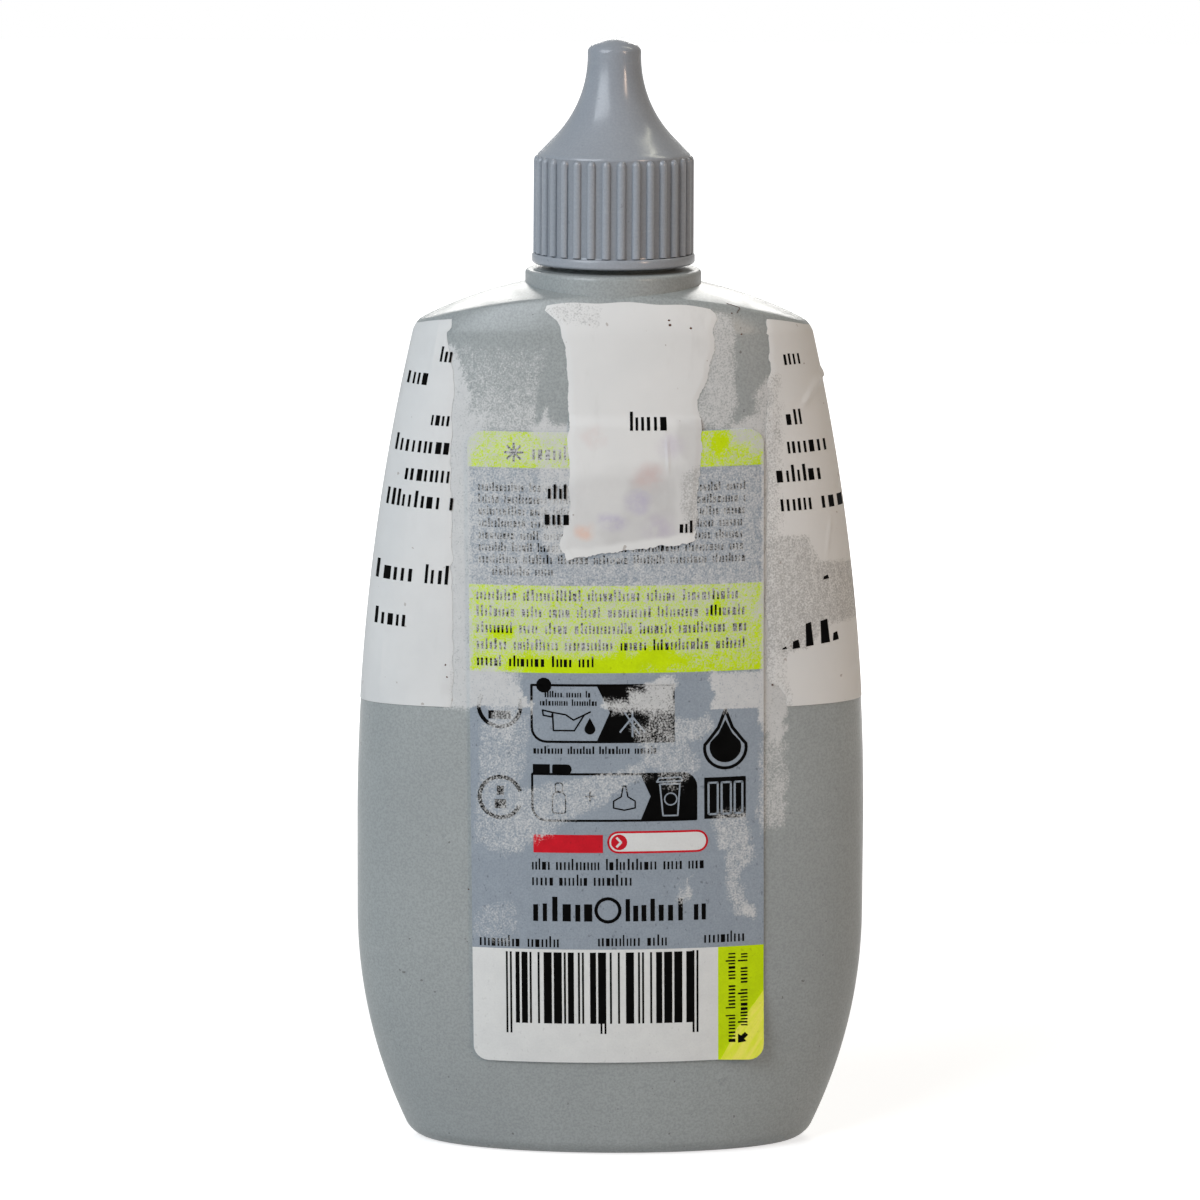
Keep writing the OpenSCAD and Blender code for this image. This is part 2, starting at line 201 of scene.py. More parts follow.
# Outlines in x and z, each after the amount of paper left there, or that at its top and its foot
FIBRES = [points(row) for row in """
0.94 -21.8,60.5 -18.2,60.5 -18.4,75 -18.5,100.5 -18.6,102.6 -19.6,104.8 -20.6,107.2 -22,109
0.22,0.66 -21,108.4 -19.4,104 -18.4,101 -18.6,96.4 -9.7,97.2 -9.4,101 -8.4,108 -14.6,107.6
0.7 12.6,112.4 15.7,112.4 15.9,104 16.1,100 14.8,97.6 10.8,97.6 11,101 12.4,107
0.72 20.6,104.5 18.3,101.5 18.5,99 19.4,97 20.6,97
0.9 19.4,97.2 21,97.2 21,62 19.5,62
0.57 -18.6,97.2 -9,97.2 -9,92.6 -18.6,92.4
0.85 -18.8,98.4 -16.4,98.4 -17.2,96.2 -17.8,94.6 -18.8,94
0.74 -9.6,97.2 -5,97.2 -5,81.5 -8,80.5 -9.6,84
0.4 11,98 19,98 19,92 11,92
0.86 15.2,98.4 19.4,98.6 19.4,94.6 17.2,95 15.2,95.4
0.92 -10.6,97.6 -9.9,97.9 -8.6,99.8 -7.4,98.6 -5.2,98.2 -5.2,95.6 -7.4,96.4 -9.4,96.2
0.54 -18.8,92.4 -9.4,92.6 -9.4,81 -6,77 -18.8,76.6
0.5 10.4,92.4 19.3,92.8 19.3,77 10.4,77
0.5 -8,80.6 19.3,84 19.3,77 -8,77
0.58 -18.8,77.4 19.4,78 19.4,72 2,71.6 1,68.2 -4,67.6 -11,67 -18.8,67.4
0.46 1,72 19.5,72.4 19.5,67.4 8,67.6 2,68
0.3 -18.8,68 19.4,68.4 19.4,65.8 -18.8,65.4
0.95 -21.3,65.6 -13.8,65.7 -11.4,62.6 -10.2,60.9 -21.3,60.6
0.92 -1.4,60.9 -0.8,62.2 2.6,63.2 5.8,65 10.4,65.6 8.4,63.2 8.2,60.8 4,60.4
0.93 12.9,60.7 13.1,63 12.6,65.6 19.4,65.6 21,64 21,60.7
0.9 18.9,65 23.1,65 23.1,57 21.6,55.8 20.4,57.6 19.2,59
0.62 19.3,50 23.2,52 23.2,44.5 20.4,45.4
0.5 19.4,57 23.2,56 23.2,44 19.4,44
0.42 -17.5,60 -10.4,60 -11.4,52 -13.4,41 -18,43 -17,52
0.56 -17,66 -12,66 -11.6,60 -13,56 -16,57
0.5 -12,50 -4,52 3,53 8,58 4.4,52 -3,47 -8,44 -14,41 -15,46
0.54 4,60.6 9,59.8 13,60.4 13.4,58 10.4,56 7,56.8
0.46 3,59 9,59 12,53 8,50 4,54
0.55 13.2,46 17.8,47 19.2,40.8 17,39 14,43
0.58 15,41.4 16.4,41 17.8,35.4 19.2,33.6 16.6,33.2 15.2,37.4
0.8 17,34.8 19.2,34.2 19.1,32.9 16.6,33.1
0.75 9,38.4 9.6,36.4 10.4,38.8 10.6,36.2 9.8,34.6 8.9,35.2
0.3 -18,34 -12,35 -12.6,29 -18,30
""".strip().split("\n")]
# Places inside them that are clean again
CLEAN = [points(row) for row in """
-8.4,108.2 -10.2,99 -9.9,97.7 -8.6,99.8 -7.4,98.6 -5.6,98.2 -6,106
13.4,96.8 15,96.6 15.2,95 13.8,94 12.8,95.2
8.6,65.6 12.6,65.4 12.9,62 11.6,59.4 9,60.2 8,62
-13.6,68 -11,68.4 -5,67.2 1.6,68.2 7,69 10,67 2,65.6 -13.6,65.8
-16,70.4 -14,71.6 -12.4,70.6 -14,69.6
12.9,75.8 14.3,76 14.1,73.4 13,73.2
-18,60.3 -15.6,60.3 -15.8,58.2 -18,58.2
""".strip().split("\n")]


def depth_inside(x, z, pts):
    """Signed distance to an outline, positive inside."""
    best = np.full(x.shape, 1e9)
    inside = np.zeros(x.shape, bool)
    for (ax, az), (bx, bz) in zip(pts, pts[1:] + pts[:1]):
        ex, ez = bx - ax, bz - az
        f = np.clip(((x - ax) * ex + (z - az) * ez) / (ex * ex + ez * ez + 1e-12), 0, 1)
        best = np.minimum(best, np.hypot(x - ax - f * ex, z - az - f * ez))
        inside ^= ((az > z) != (bz > z)) & (x < ex * (z - az) / (ez if ez else 1e-9) + ax)
    return np.where(inside, best, -best)


def wobble(x, z, scale, seed):
    """Smooth noise at each x and z."""
    places = zip(x.ravel() * scale, z.ravel() * scale)
    return np.array([noise.noise(Vector((a, b, seed))) for a, b in places]).reshape(x.shape)


def fibres(x, z):
    """Share of paper fibres at each x and z on the front."""
    wx = x + 0.7 * wobble(x, z, 0.55, 3.1) + 0.25 * wobble(x, z, 1.9, 5.7)
    wz = z + 0.7 * wobble(x, z, 0.55, 8.3) + 0.25 * wobble(x, z, 1.9, 1.9)
    # The over-label's cut lower edge stays straight
    wz = z + (wz - z) * ease(np.abs(z - OVER_LOW) - 0.4)
    out = np.zeros(x.shape)
    for (head, *foot), *pts in FIBRES:
        amount = head
        if foot:
            top, low = max(q[1] for q in pts), min(q[1] for q in pts)
            amount = foot[0] + (head - foot[0]) * np.clip((z - low) / (top - low), 0, 1)
        soft = np.where(np.asarray(amount) > 0.8, 0.2, 0.9)
        out = np.maximum(out, amount * ease(depth_inside(wx, wz, pts) / soft + 0.5))
    for pts in CLEAN:
        out *= 1 - 0.9 * ease(depth_inside(wx, wz, pts) / 0.4 + 0.5)
    return out


# Mesh helpers

def add_object(name, data):
    ob = bpy.data.objects.new(name, data)
    scene.collection.objects.link(ob)
    return ob


def finish_mesh(name, bm, mat, node, sharp, mask=None, body="bottle"):
    """Turns a bmesh in millimetres into a piece of a body, which may replace a node."""
    bmesh.ops.recalc_face_normals(bm, faces=bm.faces)
    for e in bm.edges:
        e.smooth = len(e.link_faces) == 2 and e.calc_face_angle(0) < radians(sharp)
    for f in bm.faces:
        f.smooth = True
    me = bpy.data.meshes.new(name)
    bm.to_mesh(me)
    bm.free()
    co = np.empty(len(me.vertices) * 3)
    me.vertices.foreach_get("co", co)
    co = co.reshape(-1, 3)
    for key, values in (mask(*co.T) if mask else {}).items():
        data = me.attributes.new(key, "FLOAT", "POINT").data
        data.foreach_set("value", np.asarray(values, np.float32))
    me.vertices.foreach_set("co", (co * MM).ravel())
    me.update()
    me.materials.append(mat)
    ob = add_object(name, me)
    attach(ob, body)
    if node:
        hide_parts(node)


def add_rings(bm, rings, loop=False):
    """Adds rings of points joined by quads; loop joins last to first, else both ends close."""
    rows = [[bm.verts.new(p) for p in ring] for ring in rings]
    n = len(rows[0])
    for a, b in list(zip(rows, rows[1:])) + ([(rows[-1], rows[0])] if loop else []):
        for j in range(n):
            k = (j + 1) % n
            bm.faces.new((a[j], a[k], b[k], b[j]))
    if not loop:
        bm.faces.new(rows[0])
        bm.faces.new(rows[-1][::-1])


def near(r, z, text):
    """Places of a profile, told from a radius and a height."""
    return [(r + a, z + b) for a, b in points(text)]


def full_turn(n):
    return np.arange(n) * 2 * PI / n


def revolve(bm, profile, ang, radius=None):
    """Adds a closed profile of (r, z) turned about Z; radius(r, z, angle) may shape it."""
    n, rings = len(ang), []
    for r, z in profile:
        rr = radius(r, z, ang) if radius else np.full(n, r)
        rings.append(np.stack([rr * np.cos(ang), rr * np.sin(ang), np.full(n, z)], -1))
    add_rings(bm, rings, loop=True)


def add_sheet(bm, lower, upper):
    """Adds a thin closed sheet from two grids of points."""
    nv, nu = lower.shape[:2]
    a = [[bm.verts.new(p) for p in row] for row in lower]
    b = [[bm.verts.new(p) for p in row] for row in upper]
    for j in range(nv - 1):
        for i in range(nu - 1):
            bm.faces.new((a[j][i], a[j + 1][i], a[j + 1][i + 1], a[j][i + 1]))
            bm.faces.new((b[j][i], b[j][i + 1], b[j + 1][i + 1], b[j + 1][i]))
    border = [(0, i) for i in range(nu - 1)] + [(j, nu - 1) for j in range(nv - 1)]
    border += [(nv - 1, i) for i in range(nu - 1, 0, -1)] + [(j, 0) for j in range(nv - 1, 0, -1)]
    for (j, i), (l, k) in zip(border, border[1:] + border[:1]):
        bm.faces.new((a[j][i], a[l][k], b[l][k], b[j][i]))


def plates(name, shapes, put, off, mat, step, fibred=True):
    """Flat outlines laid on the bottle as very thin plates of print, cut every step to bend."""
    bm = bmesh.new()
    for pts in shapes:
        bm.faces.new([bm.verts.new((x, z, 0)) for x, z in pts])
    for axis, d in enumerate(step):
        normal = Vector(((1, 0, 0), (0, 1, 0))[axis])
        along = [v.co[axis] for v in bm.verts]
        for k in range(floor(min(along) / d) + 1, ceil(max(along) / d)):
            bmesh.ops.bisect_plane(bm, geom=bm.verts[:] + bm.edges[:] + bm.faces[:],
                                   plane_co=normal * (k * d), plane_no=normal, dist=1e-5)
    for v in bmesh.ops.extrude_face_region(bm, geom=bm.faces[:])["geom"]:
        if isinstance(v, bmesh.types.BMVert):
            v.co.z = 1
    co = np.array([v.co[:] for v in bm.verts])
    for v, p in zip(bm.verts, put(co[:, 0], co[:, 1], off + INK_T * co[:, 2])):
        v.co = p

    def mask(x, y, z):
        return {"fibre": fibres(x, z) if fibred else 0 * x}
    finish_mesh(name, bm, mat, None, 30, mask)


def rect(x0, z0, x1, z1):
    return [(x0, z0), (x1, z0), (x1, z1), (x0, z1)]


def arc(cx, cz, r, a0, a1, n=6):
    """Points along an arc, its angles in degrees."""
    angles = [radians(a0 + (a1 - a0) * i / n) for i in range(n + 1)]
    return [(cx + r * cos(a), cz + r * sin(a)) for a in angles]


def circle(cx, cz, r, n):
    return arc(cx, cz, r, 0, 360, n)[:-1]


def round_rect(x0, z0, x1, z1, r):
    """A rectangle whose corners, from lower left anticlockwise, have the four radii in r."""
    a, b, c, d = r
    return (arc(x0 + a, z0 + a, a, 180, 270) + arc(x1 - b, z0 + b, b, 270, 360)
            + arc(x1 - c, z1 - c, c, 0, 90) + arc(x0 + d, z1 - d, d, 90, 180))


def line(pts, w, closed=True):
    """Quads of width w along some points, each a fifth of it longer at both ends."""
    out = []
    for (ax, az), (bx, bz) in zip(pts, pts[1:] + (pts[:1] if closed else [])):
        d = hypot(bx - ax, bz - az)
        if d < 1e-6:
            continue
        ux, uz = (bx - ax) / d, (bz - az) / d
        nx, nz = -uz * w / 2, ux * w / 2
        ax, az = ax - ux * w * 0.2, az - uz * w * 0.2
        bx, bz = bx + ux * w * 0.2, bz + uz * w * 0.2
        out.append([(ax + nx, az + nz), (ax - nx, az - nz), (bx - nx, bz - nz), (bx + nx, bz + nz)])
    return out


def strokes(x0, x1, z, h, seed, bold, gap=0.5):
    """A row of short upright strokes in groups, standing for a line of small print."""
    rng = random.Random(seed)
    out, x = [], x0
    while x < x1:
        end = min(x1, x + h * rng.uniform(1.6, 5.2))
        while x < end:
            w = h * bold * rng.uniform(0.85, 1.2)
            block = rng.random() < 0.18
            if block:
                w = h * rng.uniform(0.28, 0.36)
            top = z + h * (0.7 if block else rng.choice((0.68, 0.7, 0.72, 1.0)))
            rng.random()  # A spare draw that keeps the rows as they are
            out.append(rect(x, z, x + w, top))
            x += w + h * rng.uniform(0.14, 0.24)
        x += h * gap
    return out


# Materials

class Nodes:
    """Short calls for the nodes of a tree."""

    def __init__(self, tree):
        self.tree = tree

    def put(self, socket, value):
        if isinstance(value, bpy.types.NodeSocket):
            self.tree.links.new(value, socket)
        else:
            socket.default_value = (*value, 1) if socket.type == "RGBA" else value

    def node(self, kind, ins=None, **props):
        """A new node; its inputs, by name or number, take a value or a link."""
        nd = self.tree.nodes.new("ShaderNode" + kind)
        for key, value in props.items():
            setattr(nd, key, value)
        for key, value in (ins or {}).items():
            self.put(nd.inputs[key], value)
        return nd

    def math(self, op, a, b):
        return self.node("Math", {0: a, 1: b}, operation=op).outputs[0]

    def times(self, a, b):
        return self.math("MULTIPLY", a, b)

    def plus(self, a, b):
        return self.math("ADD", a, b)

    def ramp(self, value, lo, hi, a=0.0, b=1.0):
        ins = dict(enumerate((value, lo, hi, a, b)))
        return self.node("MapRange", ins, interpolation_type="SMOOTHSTEP").outputs[0]


class Look(Nodes):
    """A material and its nodes."""

    def __init__(self, name, rough, **sockets):
        self.mat = bpy.data.materials.new(name)
        self.mat.use_nodes = True
        super().__init__(self.mat.node_tree)
        self.bsdf = self.tree.nodes["Principled BSDF"]
        self.bsdf.inputs["Roughness"].default_value = rough
        for key, value in sockets.items():
            self.put(self.bsdf.inputs[key.replace("_", " ")], value)
        self.place = self.node("TexCoord").outputs["Object"]

    def noise(self, scale, detail=3.0, rough=0.55, stretch=None, turn=0.0):
        vec = self.place
        if turn:
            ins = {"Vector": vec, "Rotation": (0.0, turn, 0.0)}
            vec = self.node("Mapping", ins, vector_type="TEXTURE").outputs[0]
        if stretch:
            vec = self.node("Mapping", {"Vector": vec, "Scale": stretch}).outputs[0]
        ins = {"Vector": vec, "Scale": scale, "Detail": detail, "Roughness": rough}
        return self.node("TexNoise", ins).outputs["Fac"]

    def mix(self, fac, a, b):
        return self.node("Mix", {0: fac, 6: a, 7: b}, data_type="RGBA").outputs[2]

    def attr(self, name):
        return self.node("Attribute", attribute_name=name).outputs["Fac"]

    def bump(self, height, strength, distance):
        ins = {"Strength": strength, "Distance": distance, "Height": height}
        return self.node("Bump", ins).outputs[0]

    def grain(self, scale, detail, strength, stretch=None):
        """Noise about zero."""
        return self.times(self.math("SUBTRACT", self.noise(scale, detail, 0.6, stretch), 0.5), strength)

    def cover(self, amount):
        """How far torn fibres cover a place: their amount, broken up by a fine grain."""
        grain = self.plus(self.grain(4300, 2.0, 1.9), self.grain(1300, 3.0, 0.7, (1, 1, 0.5)))
        flecks = self.plus(amount, grain)
        return self.times(self.ramp(flecks, 0.12, 0.95), self.ramp(amount, 0.02, 0.2))

    def fibre(self, colour):
        """Torn paper fibres over a colour, where the mesh says that some are left."""
        cover = self.cover(self.attr("fibre"))
        tone = self.mix(self.noise(900), (0.58, 0.59, 0.59), (0.72, 0.73, 0.72))
        return self.mix(self.times(cover, 0.93), colour, tone), cover

    def done(self, colour, rough, normal):
        self.put(self.bsdf.inputs["Base Color"], colour)
        self.put(self.bsdf.inputs["Roughness"], rough)
        self.put(self.bsdf.inputs["Normal"], normal)
        return self.mat


def shade(colour, k):
    return tuple(c * k for c in colour)


def plastic_look(name, light, dark, rough, grain, speckle, fibre=False, groove=0.0):
    """Moulded plastic: clouded, speckled and scuffed, with painted shade in its rib valleys or fibres if
    asked.
    """
    m = Look(name, rough)
    speck = m.noise(3400, 2, 0.6)
    col = m.mix(m.ramp(m.noise(45, 4), 0.3, 0.7), dark, light)
    col = m.mix(m.ramp(speck, 0.34, 0.66, 0.0, speckle), col, shade(dark, 0.7))
    spots = m.ramp(m.noise(1300, 2, 0.4), 0.755, 0.77)
    col = m.mix(m.times(spots, speckle), col, (0.06, 0.05, 0.045))
    # Painted shade: the rib valleys are darkened where the mesh marks them
    if groove:
        col = m.mix(m.times(m.attr("groove"), groove), col, (0.03, 0.032, 0.035))
    scuff = m.ramp(m.noise(160, 3, 0.6, (1, 1, 5.0)), 0.6, 0.78)
    col = m.mix(m.times(scuff, 0.1), col, (0.6, 0.62, 0.63))
    rg = m.ramp(m.noise(300, 4), 0.25, 0.75, rough - 0.05, rough + 0.07)
    height = speck
    if fibre:
        col, cover = m.fibre(col)
        height = m.plus(speck, m.times(cover, 1.4))
        rg = m.plus(rg, m.times(cover, 0.35))
    return m.done(col, rg, m.bump(height, grain, 0.00004))


def print_look(name, colour, other, rough, shine, fleck=0.15, streak=False):
    """A printed field: uneven ink, or painted sheen in streaks along the label's fold, with fibres over
    it.
    """
    m = Look(name, rough, Specular_IOR_Level=shine)
    if streak:
        uneven = m.noise(1100, 3, 0.6, (1, 1, 0.12), 0.57)
    else:
        uneven = m.noise(380, 4, 0.6)
    col = m.mix(m.ramp(uneven, 0.3, 0.7), colour, other)
    fine = m.ramp(m.noise(4200, 2), 0.35, 0.65, 0.0, fleck)
    col = m.mix(fine, col, shade(colour, 0.6))
    specks = m.ramp(m.noise(2200, 2, 0.5, (1, 1, 0.6)), 0.66, 0.72, 0.0, 2 * fleck)
    col, cover = m.fibre(m.mix(specks, col, shade(colour, 0.4)))
    height = m.plus(m.times(m.noise(2600), 0.4), cover)
    rg = m.ramp(m.noise(250), 0.3, 0.7, rough - 0.04, rough + 0.06)
    rg = m.plus(rg, m.times(cover, 0.4))
    return m.done(col, rg, m.bump(height, 0.12, 0.00006))


def paper_look():
    """White sticker paper, stained, with attributes for painted shade and grey places, faint tints and
    worn ones.
    """
    m = Look("sticker_paper", 0.62)
    cloud = m.ramp(m.noise(70, 4), 0.3, 0.7)
    col = m.mix(cloud, (0.755, 0.765, 0.755), (0.8, 0.805, 0.79))
    stain = m.ramp(m.noise(240, 4, 0.65, (1, 1, 0.3)), 0.56, 0.75, 0.0, 0.22)
    col = m.mix(stain, col, (0.55, 0.54, 0.52))
    # Painted shade on the left piece and grey zones on the middle piece, both mixed towards grey
    dull = m.times(m.attr("dull"), m.ramp(m.noise(260, 4, 0.6), 0.3, 0.7, 0.7, 1.0))
    col = m.mix(dull, col, (0.44, 0.43, 0.425))
    ghost = m.mix(m.attr("hue"), (0.4, 0.34, 0.56), (0.8, 0.46, 0.32))
    tint = m.times(m.attr("tint"), m.ramp(m.noise(420, 4, 0.65), 0.25, 0.7))
    col = m.mix(tint, col, ghost)
    bare = m.cover(m.attr("worn"))
    col = m.mix(m.times(bare, 0.9), col, (0.4, 0.405, 0.395))
    soil = m.ramp(m.noise(900, 2, 0.5), 0.735, 0.755)
    col = m.mix(m.times(soil, 0.45), col, (0.2, 0.13, 0.09))
    height = m.plus(m.times(m.noise(1800, 4), 0.5), m.times(bare, -0.8))
    rg = m.ramp(m.noise(500), 0.3, 0.7, 0.55, 0.7)
    return m.done(col, rg, m.bump(height, 0.16, 0.00006))


def dirt_look():
    m = Look("dirt", 0.8)
    col = m.mix(m.noise(2500), (0.16, 0.07, 0.035), (0.05, 0.035, 0.03))
    return m.done(col, 0.8, m.bump(m.noise(6000, 2), 0.3, 0.00005))


bottle_mat = plastic_look("bottle_satin", (0.378, 0.41, 0.408), (0.341, 0.37, 0.371),
                          0.32, 0.1, 0.56, fibre=True)
cap_mat = plastic_look("cap_moulded", (0.348, 0.378, 0.418), (0.309, 0.338, 0.377),
                       0.2, 0.02, 0.2, groove=0.2)
insert_mat = plastic_look("insert_natural", (0.8, 0.8, 0.76), (0.74, 0.74, 0.7),
                          0.38, 0.04, 0.12)
label_mat = print_look("label_film", (0.29, 0.338, 0.392), (0.321, 0.371, 0.426), 0.42, 0.4, 0.3)
black_mat = print_look("print_black", (0.002, 0.002, 0.002), (0.004, 0.004, 0.004), 0.5, 0.02)
lime_mat = print_look("print_lime", (0.65, 0.87, 0.003), (0.58, 0.79, 0.003), 0.4, 0.1)
# Painted sheen: pale yellow with streaks, standing for light glancing off the creased peel corner
sheen_lime_mat = print_look("print_lime_rubbed", (0.93, 0.87, 0.13), (0.76, 0.84, 0.02),
                        0.3, 0.5, 0.1, streak=True)
white_mat = print_look("print_white", (0.785, 0.8, 0.785), (0.745, 0.76, 0.75), 0.42, 0.4, 0.08)
red_mat = print_look("print_red", (0.7, 0.01, 0.024), (0.58, 0.008, 0.02), 0.42, 0.15)
paper_mat = paper_look()
dirt_mat = dirt_look()


# Bottle

def add_thread(bm, r, z0, turns, outward):
    """A screw ridge with run-out ends, as a closed strip."""
    steps = int(60 * turns)
    rings = []
    for i in range(steps + 1):
        f = i / steps
        a = 2 * PI * turns * f
        k = float(ease(min(f, 1 - f) * turns * 5))
        d = outward * THREAD_DEPTH * k
        z = z0 + THREAD_PITCH * turns * f
        sec = [(0, -0.75), (d * 0.55, -0.52), (d * 0.95, -0.28), (d, 0),
               (d * 0.95, 0.28), (d * 0.55, 0.52), (0, 0.75), (-0.2 * outward, 0)]
        rings.append([((r + p) * cos(a), (r + p) * sin(a), z + q * (0.4 + 0.6 * k))
                      for p, q in sec])
    add_rings(bm, rings)


def build_bottle():
    t = full_turn(240)

    def oval(a, b, z):
        return np.stack([a * np.sin(t), -b * np.cos(t), np.full(len(t), z)], -1)

    def base(inset, z):
        return oval(FOOT_W / 2 - inset, FOOT_D / 2 - inset, z)

    def foot(q, off, lift):
        z, inset = FOOT_R * (1 - sin(q)), FOOT_R * (1 - cos(q)) - off
        return oval(half_w(z) - inset, half_d(z) - inset, z + lift)

    # The faint line that the mould leaves on both sides
    seam = np.exp(-((np.abs(np.sin(t)) - 1) / 0.00035) ** 2) * 0.05

    def run(off, hole, counts, feet, floor):
        """Rings from the middle of the base to the neck hole."""
        flat = FOOT_R + RING_W
        out = [base(flat + 2 * RECESS + 1.2, RECESS + floor)]
        out += [base(flat + 2 * RECESS * f, RECESS * ease(f) + floor) for f in (1, 0.75, 0.5, 0.25, 0)]
        out += [foot(PI / 2 * (1 - i / feet), off, floor * (1 - i / feet)) for i in range(feet + 1)]
        for s in [k + i / c for k, c in enumerate(counts) for i in range(1, c + 1)]:
            ring = skin(t, s, off, hole)
            if off == 0 and s < 2.6:
                lift = seam * (s > 1.5)
                ring = ring + np.stack([np.sign(np.sin(t)) * seam, 0 * t, lift], -1)
            out.append(ring)
        return out

    outer = run(0.0, HOLE, (108, 10, 12), 8, 0.0)
    inner = run(-WALL, HOLE - WALL, (30, 4, 5), 4, WALL)
    bm = bmesh.new()
    add_rings(bm, outer + inner[::-1])
    low = CREST - float(max(sag(COLLAR_R, CROWN_W), sag(COLLAR_R, CROWN_D))) - WALL / 2
    prof = [(BORE_R, low), (COLLAR_R, low), (COLLAR_R, COLLAR_TOP - COLLAR_EDGE)]
    prof += arc(COLLAR_R - COLLAR_EDGE, COLLAR_TOP - COLLAR_EDGE, COLLAR_EDGE, 0, 90, 8)[1:]
    prof += near(NECK_R, COLLAR_TOP, "0.5,0 0.15,0.15 0,0.5")
    prof += near(NECK_R, LAND, "0,-0.4 -0.12,-0.12 -0.4,0") + near(BORE_R, LAND, "0.3,0 0,-0.3")
    revolve(bm, prof, full_turn(144))
    add_thread(bm, NECK_R - 0.1, COLLAR_TOP + 2.2, 1.65, 1)

    def mask(x, y, z):
        front = (y < 0) & (z > 28) & (z < 113)
        out = 0 * x
        out[front] = fibres(x[front], z[front])
        return {"fibre": out}
    finish_mesh("bottle_shell", bm, bottle_mat, "bottle", 35, mask)


# Screw cap and dropper insert

CAP_Z = COLLAR_TOP + 0.7
GRIP_R, RIB_R, RIBS, SKIRT_H, BAND_R, BAND_H, BAND_EDGE = 10.0, 0.56, 32, 14.4, 10.68, 1.3, 0.4
SKIRT_IN, NOSE_R, TIP_R, NOSE_H, SLOPE = 9.1, 9.8, 3.5, 13.6, radians(44)
TIP_DOME, NOSE_WALL, PIN_R, PIN_IN = 1.4, 1.1, 0.75, 1.6
NOSE_Z = CAP_Z + SKIRT_H
# Height at which the ribs begin to round off, and over how much they do
RIB_END, RIB_ROUND = NOSE_Z - 1.05, 0.7
TIP_Z = NOSE_Z + NOSE_H
BEND_Z = TIP_Z - 1
BEND_R = ((tan(SLOPE) * (NOSE_H - 1) - NOSE_R + TIP_R)
          / (tan(SLOPE) * sin(SLOPE) - 1 + cos(SLOPE)))
CONE_Z = BEND_Z - BEND_R * sin(SLOPE)
ROOF_Z = TIP_Z + TIP_DOME - 1.6 * NOSE_WALL
NOZZLE_Z = ROOF_Z - 0.5
# Where a profile ends at the middle, it leaves a hole of this radius
AXIS = 0.02
# Places across one rib, closer together at its flanks
FLANK = np.array([0.17, 0.33, 0.45, 0.53, 0.565, 0.61, 0.76])
RIB_STEPS = np.r_[-0.98, -FLANK[::-1], 0, FLANK]
FLANGE_R, FLANGE_T, PLUG_LEN, NOZZLE_R, NOZZLE_TIP, ORIFICE_R = 7.5, 1.2, 8, 3.8, 1.9, 1.0


def nose_at(z):
    """Radius of the nose at height z: a cone, an arc and the upright tip."""
    if z >= BEND_Z:
        return TIP_R
    if z >= CONE_Z:
        return TIP_R + float(sag(BEND_Z - z, BEND_R))
    return NOSE_R - (z - NOSE_Z) * tan(SLOPE)


